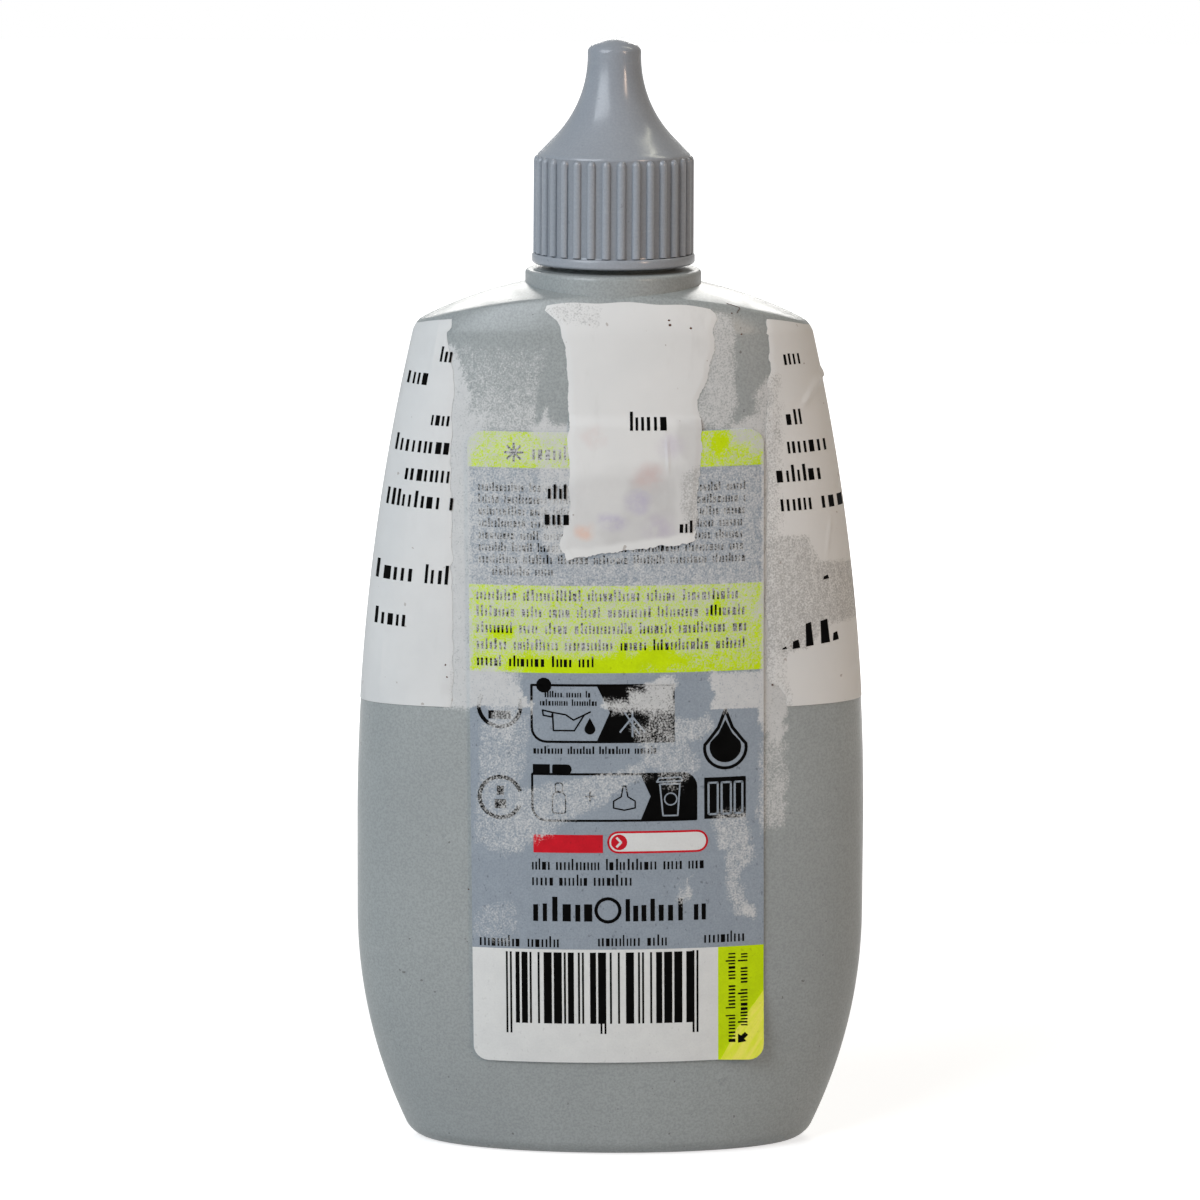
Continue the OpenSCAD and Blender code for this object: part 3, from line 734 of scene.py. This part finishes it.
def build_cap():
    def ribbed(r, z, a):
        if abs(r - GRIP_R) > 0.005:
            return np.full(len(a), r)
        pitch = 2 * PI / RIBS
        off = (np.mod(a, pitch) - pitch / 2) * GRIP_R
        past = max(0.0, (z - RIB_END) / RIB_ROUND)
        bump = np.sqrt(np.maximum(RIB_R ** 2 * (1 - past * past) - off ** 2, 0))
        return r + bump * (1 - 0.1 * (z - CAP_Z) / SKIRT_H)

    band = CAP_Z + BAND_H
    prof = [(SKIRT_IN + 0.4, CAP_Z), (BAND_R - BAND_EDGE, CAP_Z)]
    prof += arc(BAND_R - BAND_EDGE, CAP_Z + BAND_EDGE, BAND_EDGE, -90, 0)[1:]
    prof += near(BAND_R, band, "0,-0.25 -0.05,-0.1 -0.16,0") + near(GRIP_R, band, "0.06,0.02 0,0.14")
    foot = band + 0.3
    prof += [(GRIP_R, foot + (RIB_END - foot) * i / 12) for i in range(13)]
    prof += [(GRIP_R, RIB_END + RIB_ROUND * sin(PI / 2 * i / 12)) for i in range(1, 13)]
    prof += near(GRIP_R, NOSE_Z, "-0.01,-0.29 -0.04,-0.16 -0.12,-0.04")
    heights = [NOSE_Z + (BEND_Z - NOSE_Z) * i / 40 for i in range(1, 41)]
    prof += [(nose_at(z), z) for z in heights]
    prof += near(TIP_R, TIP_Z, "0,-0.5 -0.03,-0.22 -0.12,-0.02")
    dome = arc_r(TIP_R, TIP_DOME)
    radii = [(TIP_R - 0.12) * (1 - i / 9) for i in range(1, 9)] + [AXIS]
    prof += [(r, TIP_Z + TIP_DOME - float(sag(r, dome))) for r in radii]
    # The hollow inside, downwards
    prof += [(AXIS, ROOF_Z), (TIP_R - NOSE_WALL - 0.6, ROOF_Z)]
    high, low = ROOF_Z - 0.6, NOSE_Z - 1.6
    heights = [high - (high - low) * i / 20 for i in range(21)]
    prof += [(min(nose_at(max(z, NOSE_Z)) - NOSE_WALL, SKIRT_IN - 0.4), z) for z in heights]
    prof += [(SKIRT_IN, low), (SKIRT_IN, CAP_Z + 0.4)]
    bm = bmesh.new()
    step = RIB_STEPS / GRIP_R
    revolve(bm, prof, np.concatenate([(i + 0.5) * 2 * PI / RIBS + step for i in range(RIBS)]), ribbed)
    # The pin that closes the nozzle
    pin = [(AXIS, NOZZLE_Z - PIN_IN), (PIN_R - 0.25, NOZZLE_Z - PIN_IN), (PIN_R, NOZZLE_Z - 1.3),
           (PIN_R, ROOF_Z + 0.2), (AXIS, ROOF_Z + 0.2)]
    revolve(bm, pin, full_turn(32))
    add_thread(bm, SKIRT_IN + 0.1, COLLAR_TOP + 3.5, 1.5, -1)

    def mask(x, y, z):
        r = np.hypot(x, y)
        zone = (r > SKIRT_IN + 0.5) & (z > band) & (z < NOSE_Z - 0.35)
        # How far into a rib valley each point lies, for the painted shade there
        return {"groove": np.clip(1 - (r - GRIP_R) / (0.6 * RIB_R), 0, 1) * zone}
    finish_mesh("cap_shell", bm, cap_mat, "screw_cap", 38, mask, "cap")


def build_insert():
    plug = BORE_R - 0.05
    bore = plug - 1.1
    top = LAND + FLANGE_T
    prof = [(bore, LAND - PLUG_LEN), (plug - 0.5, LAND - PLUG_LEN), (plug, LAND - 6.8), (plug, LAND)]
    prof += near(FLANGE_R, LAND, "0,0 0,0.9 -0.09,1.11") + [(FLANGE_R - 0.3, top)]
    for i in range(6):
        a = PI / 2 * i / 5
        prof.append((NOZZLE_R + 0.5 - 0.5 * sin(a), top + 0.6 * (1 - cos(a))))
    rise = NOZZLE_Z - 0.4 - LAND - 1.8
    prof += [(NOZZLE_R + (NOZZLE_TIP - NOZZLE_R) * i / 8, LAND + 1.8 + rise * i / 8) for i in range(1, 9)]
    prof += near(NOZZLE_TIP, NOZZLE_Z, "-0.12,-0.12 -0.4,0")
    prof += near(ORIFICE_R, NOZZLE_Z, "0.12,0 0,-0.12 0,-3") + [(NOZZLE_R - 1.2, top), (bore, LAND - 1)]
    bm = bmesh.new()
    revolve(bm, prof, full_turn(96))
    finish_mesh("dropper_nozzle", bm, insert_mat, "dropper_insert", 35)


build_bottle()
build_cap()
build_insert()


# Label

# The print ends this far inside the label's edge; the bar field's height; where the tab begins
TRIM, FIELD_H, TAB_X = 0.02, 15.5, 13.0
# Width of the narrowest bar, and the bars' lower ends and top
BAR_W, BAR_LOW, GUARD_LOW, BAR_TOP = 0.262, 5.4, 4.0, 15.1


def build_label():
    r = LABEL_R
    corner = [r * (1 - cos(PI / 2 * i / 8)) for i in range(8)]
    rows = [r + (LABEL_H - 2 * r) * i / 170 for i in range(171)]
    # Closer rows at the straight line where the over-label ended
    rows = corner + sorted(rows + [46.9 + 0.09 * i for i in range(9)])
    rows += [LABEL_H - c for c in corner[::-1]]
    lz = np.array(rows)[:, None]
    d = r - np.minimum(np.minimum(lz, LABEL_H - lz), r)
    lx = np.linspace(-1, 1, 81)[None, :] * (LABEL_HALF - sag(d, r))
    lz = lz + 0 * lx
    bm = bmesh.new()
    add_sheet(bm, on_label(lx, lz, 0.0), on_label(lx, lz, LABEL_T))
    finish_mesh("label_sheet", bm, label_mat, "back_label", 40,
                lambda x, y, z: {"fibre": fibres(x, z)})


def label_plates(name, shapes, level, mat, step=(0.8, 1.2)):
    plates(name, shapes, on_label, LABEL_T + INK_LIFT * level, mat, step)


def tab_plates(name, shapes, lift, mat):
    plates(name, shapes, on_tab, LABEL_T + lift, mat, (0.3, 0.3))


def build_print():
    h, r = LABEL_HALF - TRIM, LABEL_R
    right_corner = arc(h - r, r, r - TRIM, 270, 360)
    head = [(-h, 79.3), (h, 79.3), (h, LABEL_H - r)] + arc(h - r, LABEL_H - r, r, 0, 90)[1:]
    head += arc(-h + r, LABEL_H - r, r, 90, 180)
    label_plates("print_lime", [head, rect(-h, 52.4, h, 63.9)], 0, lime_mat)
    tab = [(TAB_X, TRIM)] + right_corner + [(h, FIELD_H), (TAB_X, FIELD_H)]
    tab_plates("print_tab", [tab], 0, lime_mat)
    # The tab's creased corner, in the pale yellow of the painted sheen
    sheen_corner = [(13.3, TRIM)] + right_corner + [(h, 9.3)]
    sheen_corner += points("17.9,7.7 17.3,7 16.5,5.4 15.5,4.3 14.5,2.2")
    tab_plates("print_tab_corner", [sheen_corner], INK_LIFT, sheen_lime_mat)
    field = [(-h, FIELD_H)] + arc(-h + r, r, r - TRIM, 180, 270) + [(TAB_X, TRIM), (TAB_X, FIELD_H)]
    pill = round_rect(-1.2, 28.55, 11.6, 31.25, (1.3,) * 4)
    label_plates("print_white", [field, pill], 0, white_mat)

    black = []
    # Rows of small print on the lime block and on the grey field
    for i, z in enumerate((61.9, 59.75, 57.6, 55.4, 53.2)):
        black += strokes(-18, 16.6 if i < 4 else -3.2, z, 1.45, 10 + i, 0.17)
    for i in range(8):
        x0, x1 = (-17.6, 16.4) if i < 7 else (-15.9, -8)
        black += strokes(x0, x1, 76.2 - 1.57 * i, 1.15, 20 + i, 0.17)
    # A star of four lines, then single rows
    for a in (0, 45, 90, 135):
        u, w = 1.2 * cos(radians(a)), 1.2 * sin(radians(a))
        black += line([(-13 - u, 81.3 - w), (-13 + u, 81.3 + w)], 0.28, False)
    for row in ((-10.6, -5.6, 80.4, 1.9, 29, 0.15), (-10.8, 5, 41.7, 1, 30, 0.2),
                (-11.1, 11, 26.2, 1.5, 31, 0.15, 0.4), (-11.1, 2.3, 24.1, 1.5, 32, 0.15, 0.4)):
        black += strokes(*row)
    for x0, x1, seed in ((-18, -7.6, 33), (-2.6, 6.5, 34), (11.2, 16.7, 35)):
        black += strokes(x0, x1, 16 + 0.012 * x0, 1.5, seed, 0.14)
    # The large row, with a ring in its middle
    black += strokes(-11, -3.6, 19.3, 3.3, 38, 0.19, 0.2)
    black += strokes(1, 11.4, 19.3, 3, 39, 0.19, 0.25)
    black += line(circle(-1.3, 20.8, 1.55, 28), 0.42)
    # First box, with its dark end, can and drop
    corner = arc(-9.1, 45.2, 1.9, 180, 270)
    black += line(points("-11,50.8 -11,45.2") + corner + points("7.3,43.3 7.3,50.8"), 0.3)
    black += [points("-2.6,50.8 -0.9,47.2 -2.6,43.4 7.3,43.4 7.3,50.8"), circle(-9.4, 50.8, 1, 14)]
    can = "-8.3,47.2 -8.2,44.8 -5.5,44.8 -4.2,46.9 -3.4,47.3 -5.6,46.2 -6.6,46.9"
    for text in (can, "-9.6,47.5 -9.5,46.8 -8.4,46.6 -8.3,47.2"):
        black += line(points(text), 0.2)
    black += [arc(-3.5, 45, 0.7, -200, 20, 12) + [(-3.5, 46.5)]]
    black += strokes(-9.3, -3.4, 49.2, 0.85, 36, 0.2) + strokes(-9.9, -2.4, 48.1, 0.85, 37, 0.2)
    # Second box, with its dark end, a bottle, a plus and a cap
    corner = arc(8.4, 37.2, 1.8, 0, 90)
    box = points("-11,38.9 -11,34.8") + arc(-9.1, 34.7, 1.9, 180, 270) + [(10.2, 32.8)] + corner
    black += line(box + [(-11, 39)], 0.28)
    black += [points("3,39 4.3,36 3,32.8 10.2,32.8") + corner]
    black += [round_rect(-8.4, 39, -5.9, 40.3, (0.2, 0.6, 0.6, 0.2))]
    black += line(round_rect(-8.4, 33.8, -6.7, 36.6, (0.3, 0.3, 0.7, 0.7)), 0.14)
    black += line(round_rect(-8, 36.7, -7.1, 37.8, (0.1, 0.1, 0.2, 0.2)), 0.14)
    cap = "-0.5,35.4 0.5,36 0.75,37.4 1.1,37.4 1.35,36 2.3,35.4 2.3,34.5 0.9,34.2 -0.5,34.5"
    black += line(points(cap), 0.18)
    # Round signs on the left, drop and square on the right
    black += line(arc(-15.15, 35.8, 2.7, 20, 335, 30), 0.5, False)
    black += line(arc(-15.15, 47.9, 2.7, 150, 380, 24), 0.5, False)
    drop = points("14,47.3 14.9,44.9 16.2,43.2") + arc(14, 42.2, 2.7, 10, -190, 20)
    black += line(drop + points("11.8,43.2 13.1,44.9"), 0.4)
    black += [points("14,45.9 14.9,44.1") + arc(14, 42.3, 2.05, 20, -200, 16) + [(13.1, 44.1)]]
    # Plain rectangles of these signs
    black += [rect(*r) for r in points(
        "-10.9,39,-8.7,40.3 -4.2,35.95,-2.9,36.15 -3.65,35.4,-3.45,36.7 -15.9,34.3,-14.4,35.5 "
        "-15.6,36.1,-14.7,37.3 -16.6,46.2,-13.7,47.3 11.25,32.8,16.65,38.3")]
    # Bars of random widths between longer pairs
    rng = random.Random(7)
    x = -14.62
    for stop in (-2.6, 9.4):
        black += [rect(x, GUARD_LOW, x + 0.25, BAR_TOP), rect(x + 0.52, GUARD_LOW, x + 0.77, BAR_TOP)]
        x += 1.25
        while x < stop:
            w = BAR_W * rng.choice((1, 1, 2, 3, 4))
            black.append(rect(x, BAR_LOW, x + w, BAR_TOP))
            x += w + BAR_W * rng.choice((1, 1, 2, 2, 3))
        x = stop + 0.25
    black += [rect(9.66, GUARD_LOW, 9.92, 15.2), rect(10.18, GUARD_LOW, 10.44, 15.2)]
    label_plates("print_black", black, 1, black_mat, (1, 1.5))

    # Upright rows and an arrow on the peel tab
    rows = [points("15.6,2.3 16.7,2.5 16.4,2.85 16.9,3.35 16.5,3.75 16,3.25 15.6,3.5")]
    for x0, z0, seed in ((14, 2.4, 41), (15.6, 4.6, 42)):
        upright = strokes(z0, 14.6, 0, 1.25, seed, 0.17)
        rows += [[(x0 + 1.25 - b, a) for a, b in q] for q in upright]
    tab_plates("print_tab_rows", rows, 0.026, black_mat)

    # Light lines on the dark ends and on the square
    light = []
    for text in ("5.1,37.9 8.4,38 8.2,38.5 5.4,38.4", "5.5,37.6 5.9,33.4 7.8,33.4 8.1,37.6"):
        light += line(points(text), 0.2)
    light += line(circle(6.9, 35.6, 0.8, 16), 0.18)
    for w, text in ((0.24, "0.4,44.6 2,46.6 3.6,44.6"), (0.24, "2,44 2,47.4"), (0.2, "1,47.2 2.9,44.3")):
        light += line(points(text), w, False)
    for x0, x1 in ((11.8, 13), (13.5, 14.7), (15.2, 16.2)):
        light += line(round_rect(x0, 33.4, x1, 37.6, (0.1,) * 4), 0.26)
    label_plates("print_light", light, 2, label_mat)

    # Red fields, and the mark on the round one
    red = [rect(-10.9, 28.5, -1.9, 30.9)] + line(pill, 0.26) + [circle(0.2, 29.9, 1.05, 18)]
    label_plates("print_red", red, 1, red_mat)
    mark = line(points("-0.1,29.3 0.45,29.9 -0.1,30.5"), 0.3, False)
    label_plates("print_mark", mark, 2, white_mat)


build_label()
build_print()


# Torn over-label

# Torn edges: pairs of height and place across the front
LEFT_TEAR = points("58,-20.9 66,-20.7 84,-20.9 98,-20.9 102,-20.7 105,-20.9 107.4,-21.3 109,-21.6 "
                   "110,-21.2 114,-20.9")
RIGHT_TEAR = points("58,23.1 62,22.8 64.5,20.4 75,20.2 96,20.1 99,19.8 103,20.2 110,20.2 114,19.9")
MID_LEFT = points("78,-5.7 81.4,-6.0 82.4,-6.7 88,-5.5 97,-5.6 99,-5.6 106.4,-6.0 110.6,-6.8 "
                  "111.8,-7.4 112.6,-8.8 115,-8.8")
MID_RIGHT = points("78,10.4 83,10.6 91,10.9 93.5,11.4 98,11.2 100.6,10.9 103,11.9 106.7,12.8 "
                   "110.6,13.0 112,13.7 113,12.6 115,11.8")
CUT_END = (None, 0, 0)
PAPER_ROWS, CLIMB_ROWS = 110, 6
# Height at which places on the side pieces are told, and millimetres to one radian there
SIDE_Z, MM_PER_RADIAN = 90.0, 25


def ragged(z, amp, seed):
    """A rough line of torn fibres."""
    rng = np.random.default_rng(seed)
    out = np.zeros_like(z)
    for k, a in ((0.6, 1.0), (1.7, 0.55), (4.5, 0.3), (11.0, 0.14)):
        v = rng.uniform(-1, 1, int(60 * k) + 4)
        out += a * np.interp(z * k % (len(v) - 2), np.arange(len(v)), v)
    return out * amp


def wrinkle(x, z, x0, z0, x1, z1, w, h):
    """A fold in the paper along a line."""
    d = np.hypot(x1 - x0, z1 - z0)
    u = ((x - x0) * (x1 - x0) + (z - z0) * (z1 - z0)) / d
    v = ((x - x0) * (z1 - z0) - (z - z0) * (x1 - x0)) / d
    return h * np.exp(-(v / w) ** 2) * ease(u / 1.5) * ease((d - u) / 1.5)


def label_step(z):
    """Lift of the middle piece where it lies on the label."""
    return (LABEL_T + GAP) * ease((LABEL_Z + LABEL_H + 2.2 - z) / 1.6)


def build_paper(name, node, edges, low, climb, nu, folds, mask, under=np.zeros_like):
    """A piece of sticker between two edges: a torn one has a table, roughness and seed. low(x) is
    its lower edge, climb how far it goes over the shoulder's edge with what wave, under(z) its lift."""
    f = np.r_[np.linspace(0, 1, PAPER_ROWS), np.ones(CLIMB_ROWS)]
    g = np.r_[np.zeros(PAPER_ROWS), np.linspace(0, 1, CLIMB_ROWS + 1)[1:]]

    def rise(t, x):
        s0 = up(low(x), t)
        return s0 + f * (1 - s0) + g * (climb[0] + climb[1] * np.sin(climb[2] * t))

    sides = []
    for k, (table, amp, seed) in enumerate(edges):
        if table is None:
            sides.append(np.full_like(f, WRAP if k else -WRAP))
            continue
        xs = np.full_like(f, np.mean([q[1] for q in table]))
        for _ in range(4):
            t = across(xs, 100)
            s = rise(t, xs)
            z = skin(t, s)[:, 2]
            xs = np.interp(z, *zip(*table)) + ragged(z + 3 * g, amp, seed)
            t = across(xs, wall_height(s))
        sides.append(t)
    u = np.linspace(0, 1, nu)
    span = (sides[1] - sides[0])[:, None]
    t = sides[0][:, None] + u * span
    s = np.stack([rise(t[:, i], half_w(60.0) * np.sin(t[:, i])) for i in range(nu)], 1)
    p = skin(t, s)
    x, z = p[..., 0], p[..., 2]
    base = GAP + sum((wrinkle(x, z, *fold) for fold in folds), under(z))
    # Torn edges thin out
    from_edge = np.minimum(u if edges[0][0] else 1, 1 - u if edges[1][0] else 1)
    torn = from_edge * np.abs(span) * MM_PER_RADIAN
    thick = OVER_T * (0.15 + 0.85 * ease(torn / 0.8))
    bm = bmesh.new()
    add_sheet(bm, skin(t, s, base), skin(t, s, base + thick))
    finish_mesh(name, bm, paper_mat, node, 50, mask)


def left_mask(x, y, z):
    worn = 0.36 * ease((x + 21.6) / 1.2) * ease((72 - z) / 6)
    # Painted shade: the part of the left piece that faces the front is greyed a little
    return {"worn": worn, "dull": 0.2 * ease(0.5 - y / 6)}


def right_mask(x, y, z):
    wx, wz = x + 0.9 * wobble(x, z, 0.35, 4.2), z + 0.9 * wobble(x, z, 0.35, 9.4)
    patch = depth_inside(wx, wz, points(
        "19,82.6 22,83.6 25.6,82.8 27.2,79.4 29.8,79.2 34,78.6 34,72.4 29.4,71 26,68.4 22.4,67.4 19,69"))
    low = depth_inside(wx, wz, points("19,69 22.6,70 24,60 19,60"))
    worn = 0.58 * ease(patch / 0.9 + 0.5)
    worn = np.maximum(worn, 0.34 * ease(low / 0.8 + 0.5))
    worn = np.maximum(worn, 0.42 * ease((22.9 - wx) / 1.6) * ease((106 - z) / 3))
    return {"worn": worn * ease(2.6 - y + 3.5 * wobble(y, z, 0.3, 6.1))}


# Faint stains on the middle piece: hue from violet to orange, strength, place and radius
STAINS = points("0.7,0.38,4.8,91.2,1.7 0,0.45,3.4,88.1,1.2 0,0.55,-0.6,85.4,1 0,0.55,0.8,85.5,0.9 "
                "0.1,0.4,6,84.6,1.6 1,0.55,-3.7,84.2,0.9 0.1,0.3,7.6,95.4,1.4 0.7,0.2,-2.4,96.6,1.2")


def centre_mask(x, y, z):
    wx, wz = x + 0.6 * wobble(x, z, 0.5, 2.2), z + 0.6 * wobble(x, z, 0.5, 7.4)

    def zones(*table):
        """The most that any of some outlines gives, each with its amount and soft edge."""
        return np.max([amount * ease(depth_inside(wx, wz, points(text)) / soft + 0.5)
                       for amount, soft, text in table], 0)

    tint, hue = 0 * x, 0 * x
    for h, k, px, pz, r in STAINS:
        v = k * ease(1.25 - np.hypot(wx - px, (wz - pz) * 1.2) / (1.6 * r))
        hue = np.where(v > tint, h, hue)
        tint = np.maximum(tint, v)
    # Greyer zones of the middle piece
    dull = zones((0.55, 3.0, "1.6,91.6 6,92.6 8.6,91 8.8,82 0,81 -2.6,84 1,87"),
                 (0.3, 3.0, "-7,91 11,93.5 12,80 -7,80"),
                 (0.35, 1.0, "8.2,98.4 12,98.4 12,92 9.4,92"))
    worn = zones((0.3, 0.6, "-9,113.4 -1.6,113.6 -2,110.8 -8,111"),
                 (0.55, 1.2, "9,92 13,93 13,82 9.2,83.4"))
    rim_in = ease((z - 82.2 - 0.14 * x + 0.5 * (wx - x)) / 0.7)
    return {"worn": worn * rim_in, "dull": dull * rim_in, "tint": tint * rim_in, "hue": hue}


build_paper("sticker_left", "overlabel_left", (CUT_END, (LEFT_TEAR, 0.2, 1)),
            lambda x: OVER_LOW - 0.0013 * np.maximum(-x - 10, 0) ** 2,
            (0.6, 0.03, 9), 90,
            points("-23.6,104,-22.4,111,0.35,0.12 -30.5,60.8,-29.8,69.6,0.3,0.1"), left_mask)
build_paper("sticker_right", "overlabel_right", ((RIGHT_TEAR, 0.28, 2), CUT_END),
            lambda x: 60.7 - 0.0004 * np.maximum(x - 10, 0) ** 2,
            (0.6, 0.03, 7), 90,
            points("24.4,99.6,28.2,105.2,0.3,0.28 25.2,102.4,28.6,104.4,0.25,0.2 "
                   "28,79.6,28.6,85.6,0.2,0.12"), right_mask)
build_paper("sticker_centre", "overlabel_centre", ((MID_LEFT, 0.18, 3), (MID_RIGHT, 0.25, 4)),
            lambda x: 81.4 + 0.14 * x + ragged(x + 40, 0.3, 9),
            (0.7, 0.02, 21), 110,
            points("7.2,91.5,6.9,97,0.2,0.1"), centre_mask, label_step)


def on_paper(x, z, off):
    """A place on the side pieces; x is the place across the front at the height SIDE_Z."""
    t = across(x, SIDE_Z)
    return skin(t, up(z, t), GAP + OVER_T + off)


def on_patch(x, z, off):
    """A place on the middle piece."""
    return on_front(x, z, GAP + OVER_T + label_step(z) + off)


# Rows of strokes on the side pieces: ends, foot and height
SIDE_ROWS = points("-22.2,-20.9,105.6,2 -26.6,-24,102.4,2.2 -23.4,-21.2,97.3,1.9 -28.2,-20.9,93.6,2.2 "
                   "-26.9,-20.9,89.9,2.2 -29.4,-20.9,86.4,2.2 -30.8,-20.9,76.6,2.5 -31,-26.2,70.6,2.2 "
                   "22,24.2,105.4,2 22.4,24.6,97.6,2 22.6,28,93.9,2.2 21.2,27.4,90.2,2.2 "
                   "21.8,30.2,86.4,2.2")
# What is left of a larger row on the right: ends, foot and top
REMNANTS = points("22.2,22.9,68.2,68.6 23.6,24.6,68.2,69.4 25.4,26.4,68.4,71.6 27.4,28.6,68.6,71.8 "
                  "29,29.8,68.8,70 27.6,28.4,77,77.6")


def build_sticker_print():
    side = []
    for i, (x0, x1, z, h) in enumerate(SIDE_ROWS):
        k = half_w(SIDE_Z) / half_w(z + h / 2)
        side += strokes(x0 * k, x1 * k, z, h, 60 + i, 0.15, 0.45)
    for x0, x1, z0, z1 in REMNANTS:
        k = half_w(SIDE_Z) / half_w(z0)
        side.append([(x0 * k, z0), (x1 * k, z0 + 0.1), (x1 * k - 0.15, z1), (x0 * k + 0.1, z1 - 0.2)])
    plates("sticker_print", side, on_paper, INK_LIFT, black_mat, (0.6, 3.0), False)
    mid = strokes(2.2, 6.4, 97.6, 2.3, 81, 0.16, 0.4) + strokes(-8.2, -5.9, 88.6, 1.9, 82, 0.17)
    mid += strokes(-8.6, -6.0, 85.2, 1.9, 83, 0.17) + strokes(8.6, 10.4, 84.2, 1.6, 84, 0.18)
    plates("sticker_print_centre", mid, on_patch, INK_LIFT, black_mat, (0.8, 0.5), False)


build_sticker_print()


# Crumbs and a hair stuck to the bottle

# Crumbs: place across and up the front, radius and lift
CRUMBS = points("7.2,111.6,0.13,0.13 7.3,111,0.17,0.13 10,110.6,0.15,0.13 15.6,112.3,0.1,0 "
                "16.6,109.6,0.11,0 -21.6,66,0.12,0.13 -21.4,64.4,0.11,0.13 21,63.6,0.12,0.13 "
                "-18.6,36.2,0.1,0")
# The hair: angle in degrees and place up the skin, its radius and its lift
HAIR = points("38.2,2.1 38.9,2.05 39.8,1.96 39.9,1.84 39.0,1.74 38.4,1.66")
HAIR_R, HAIR_LIFT, HAIR_N = 0.04, 0.06, 40


def build_dirt():
    bm = bmesh.new()
    rng = random.Random(3)
    for x, z, r, off in CRUMBS:
        c = on_front(x, z, off)
        for v in bmesh.ops.create_icosphere(bm, subdivisions=2, radius=r)["verts"]:
            k = 1 + 0.5 * noise.noise(Vector(v.co) * 9 + Vector((x, z, 0)))
            v.co = Vector(c) + Vector((v.co.x * k * rng.uniform(0.9, 1.3), v.co.y * 0.5, v.co.z * k))
    pts = np.array([skin(radians(t), u, HAIR_LIFT) for t, u in HAIR])
    f = np.linspace(0, len(HAIR) - 1, HAIR_N)
    pts = np.stack([np.interp(f, np.arange(len(HAIR)), pts[:, k]) for k in range(3)], -1)
    rings = []
    for i, p in enumerate(pts):
        d = Vector(pts[min(i + 1, HAIR_N - 1)] - pts[max(i - 1, 0)]).normalized()
        s = d.cross(Vector((0, 1, 0))).normalized()
        w = d.cross(s)
        rings.append([Vector(p) + (s * cos(a) + w * sin(a)) * HAIR_R
                      for a in np.arange(6) * PI / 3])
    add_rings(bm, rings)
    finish_mesh("dirt_bits", bm, dirt_mat, None, 60)


build_dirt()


# Stage, light and camera

def seen_as_white(nodes):
    """How far a ray sees the pale background: the camera's fully, mirrored ones by half."""
    rays = nodes.node("LightPath").outputs
    found = rays["Is Camera Ray"]
    for kind, share in (("Is Glossy Ray", 0.5), ("Is Transmission Ray", 1.0)):
        found = nodes.math("MAXIMUM", found, nodes.times(rays[kind], share))
    return found


def build_stage():
    bm = bmesh.new()
    bmesh.ops.create_grid(bm, x_segments=8, y_segments=8, size=2.5)
    me = bpy.data.meshes.new("floor")
    bm.to_mesh(me)
    bm.free()
    floor = add_object("floor", me)
    m = Look("floor_white", 0.9, Base_Color=(0.62, 0.62, 0.62), Emission_Color=(1, 1, 1))
    # Dimmer near the bottle, so that a soft shadow shows
    away = m.node("VectorMath", {0: m.place}, operation="LENGTH").outputs["Value"]
    glow = m.times(seen_as_white(m), m.ramp(away, 0.1, 0.4, 0.68, 1.25))
    m.put(m.bsdf.inputs["Emission Strength"], glow)
    me.materials.append(m.mat)

    world = bpy.data.worlds.new("studio")
    scene.world = world
    world.use_nodes = True
    world.node_tree.nodes.clear()
    w = Nodes(world.node_tree)
    seen = w.node("Background", {0: (1, 1, 1), 1: 1.0}).outputs[0]
    dim = w.node("Background", {0: (0.95, 0.99, 0.96), 1: 0.08}).outputs[0]
    both = w.node("MixShader", {0: seen_as_white(w), 1: dim, 2: seen}).outputs[0]
    w.node("OutputWorld", {0: both})


def lamp(name, place, aim_z, size, power, colour):
    data = bpy.data.lights.new(name, "AREA")
    data.shape = "RECTANGLE"
    data.size, data.size_y = size
    data.energy = power
    data.color = colour
    ob = add_object(name, data)
    ob.location = place
    ob.rotation_euler = (Vector((0, 0, aim_z)) - Vector(place)).to_track_quat("-Z", "Y").to_euler()
    ob.visible_camera = False


build_stage()
lamp("front_left", (-0.66, -0.69, 0.72), 0.08, (0.75, 0.9), 10.5, (0.88, 0.935, 1.0))
lamp("window_right", (0.75, -0.74, 0.49), 0.08, (0.08, 0.45), 2.75, (1.0, 0.73, 0.55))
lamp("top_right", (0.56, 0.22, 1.0), 0.1, (0.07, 0.5), 1.0, (1.0, 0.98, 0.8))
lamp("top_back", (0.0, 0.8, 0.48), 0.11, (0.5, 0.4), 3.2, (1.0, 0.98, 0.945))

# The photograph's camera; PX is the metres to one of its pixels at the aim
EYE, AIM, ROLL = Vector((0, -0.69, 0.187)), Vector((0, 0, 0.073)), radians(0.29)
PX, SHIFT_PX, PHOTO_PX, SENSOR = 0.0001325, 11.5, 1200, 36.0
fwd = (AIM - EYE).normalized()
right, upw = Vector((1, 0, 0)), Vector((1, 0, 0)).cross(fwd)
cam_x = right * cos(ROLL) + upw * sin(ROLL)
cam_y = upw * cos(ROLL) - right * sin(ROLL)
cam = bpy.data.cameras.new("camera")
cam.sensor_width = SENSOR
cam.lens = (AIM - EYE).length / PX / PHOTO_PX * SENSOR
cam.clip_start = 0.01
cam_ob = add_object("camera", cam)
turn = Matrix((cam_x, cam_y, -fwd)).transposed().to_4x4()
cam_ob.matrix_world = Matrix.Translation(EYE - cam_x * SHIFT_PX * PX) @ turn
scene.camera = cam_ob
scene.view_settings.view_transform = "Standard"
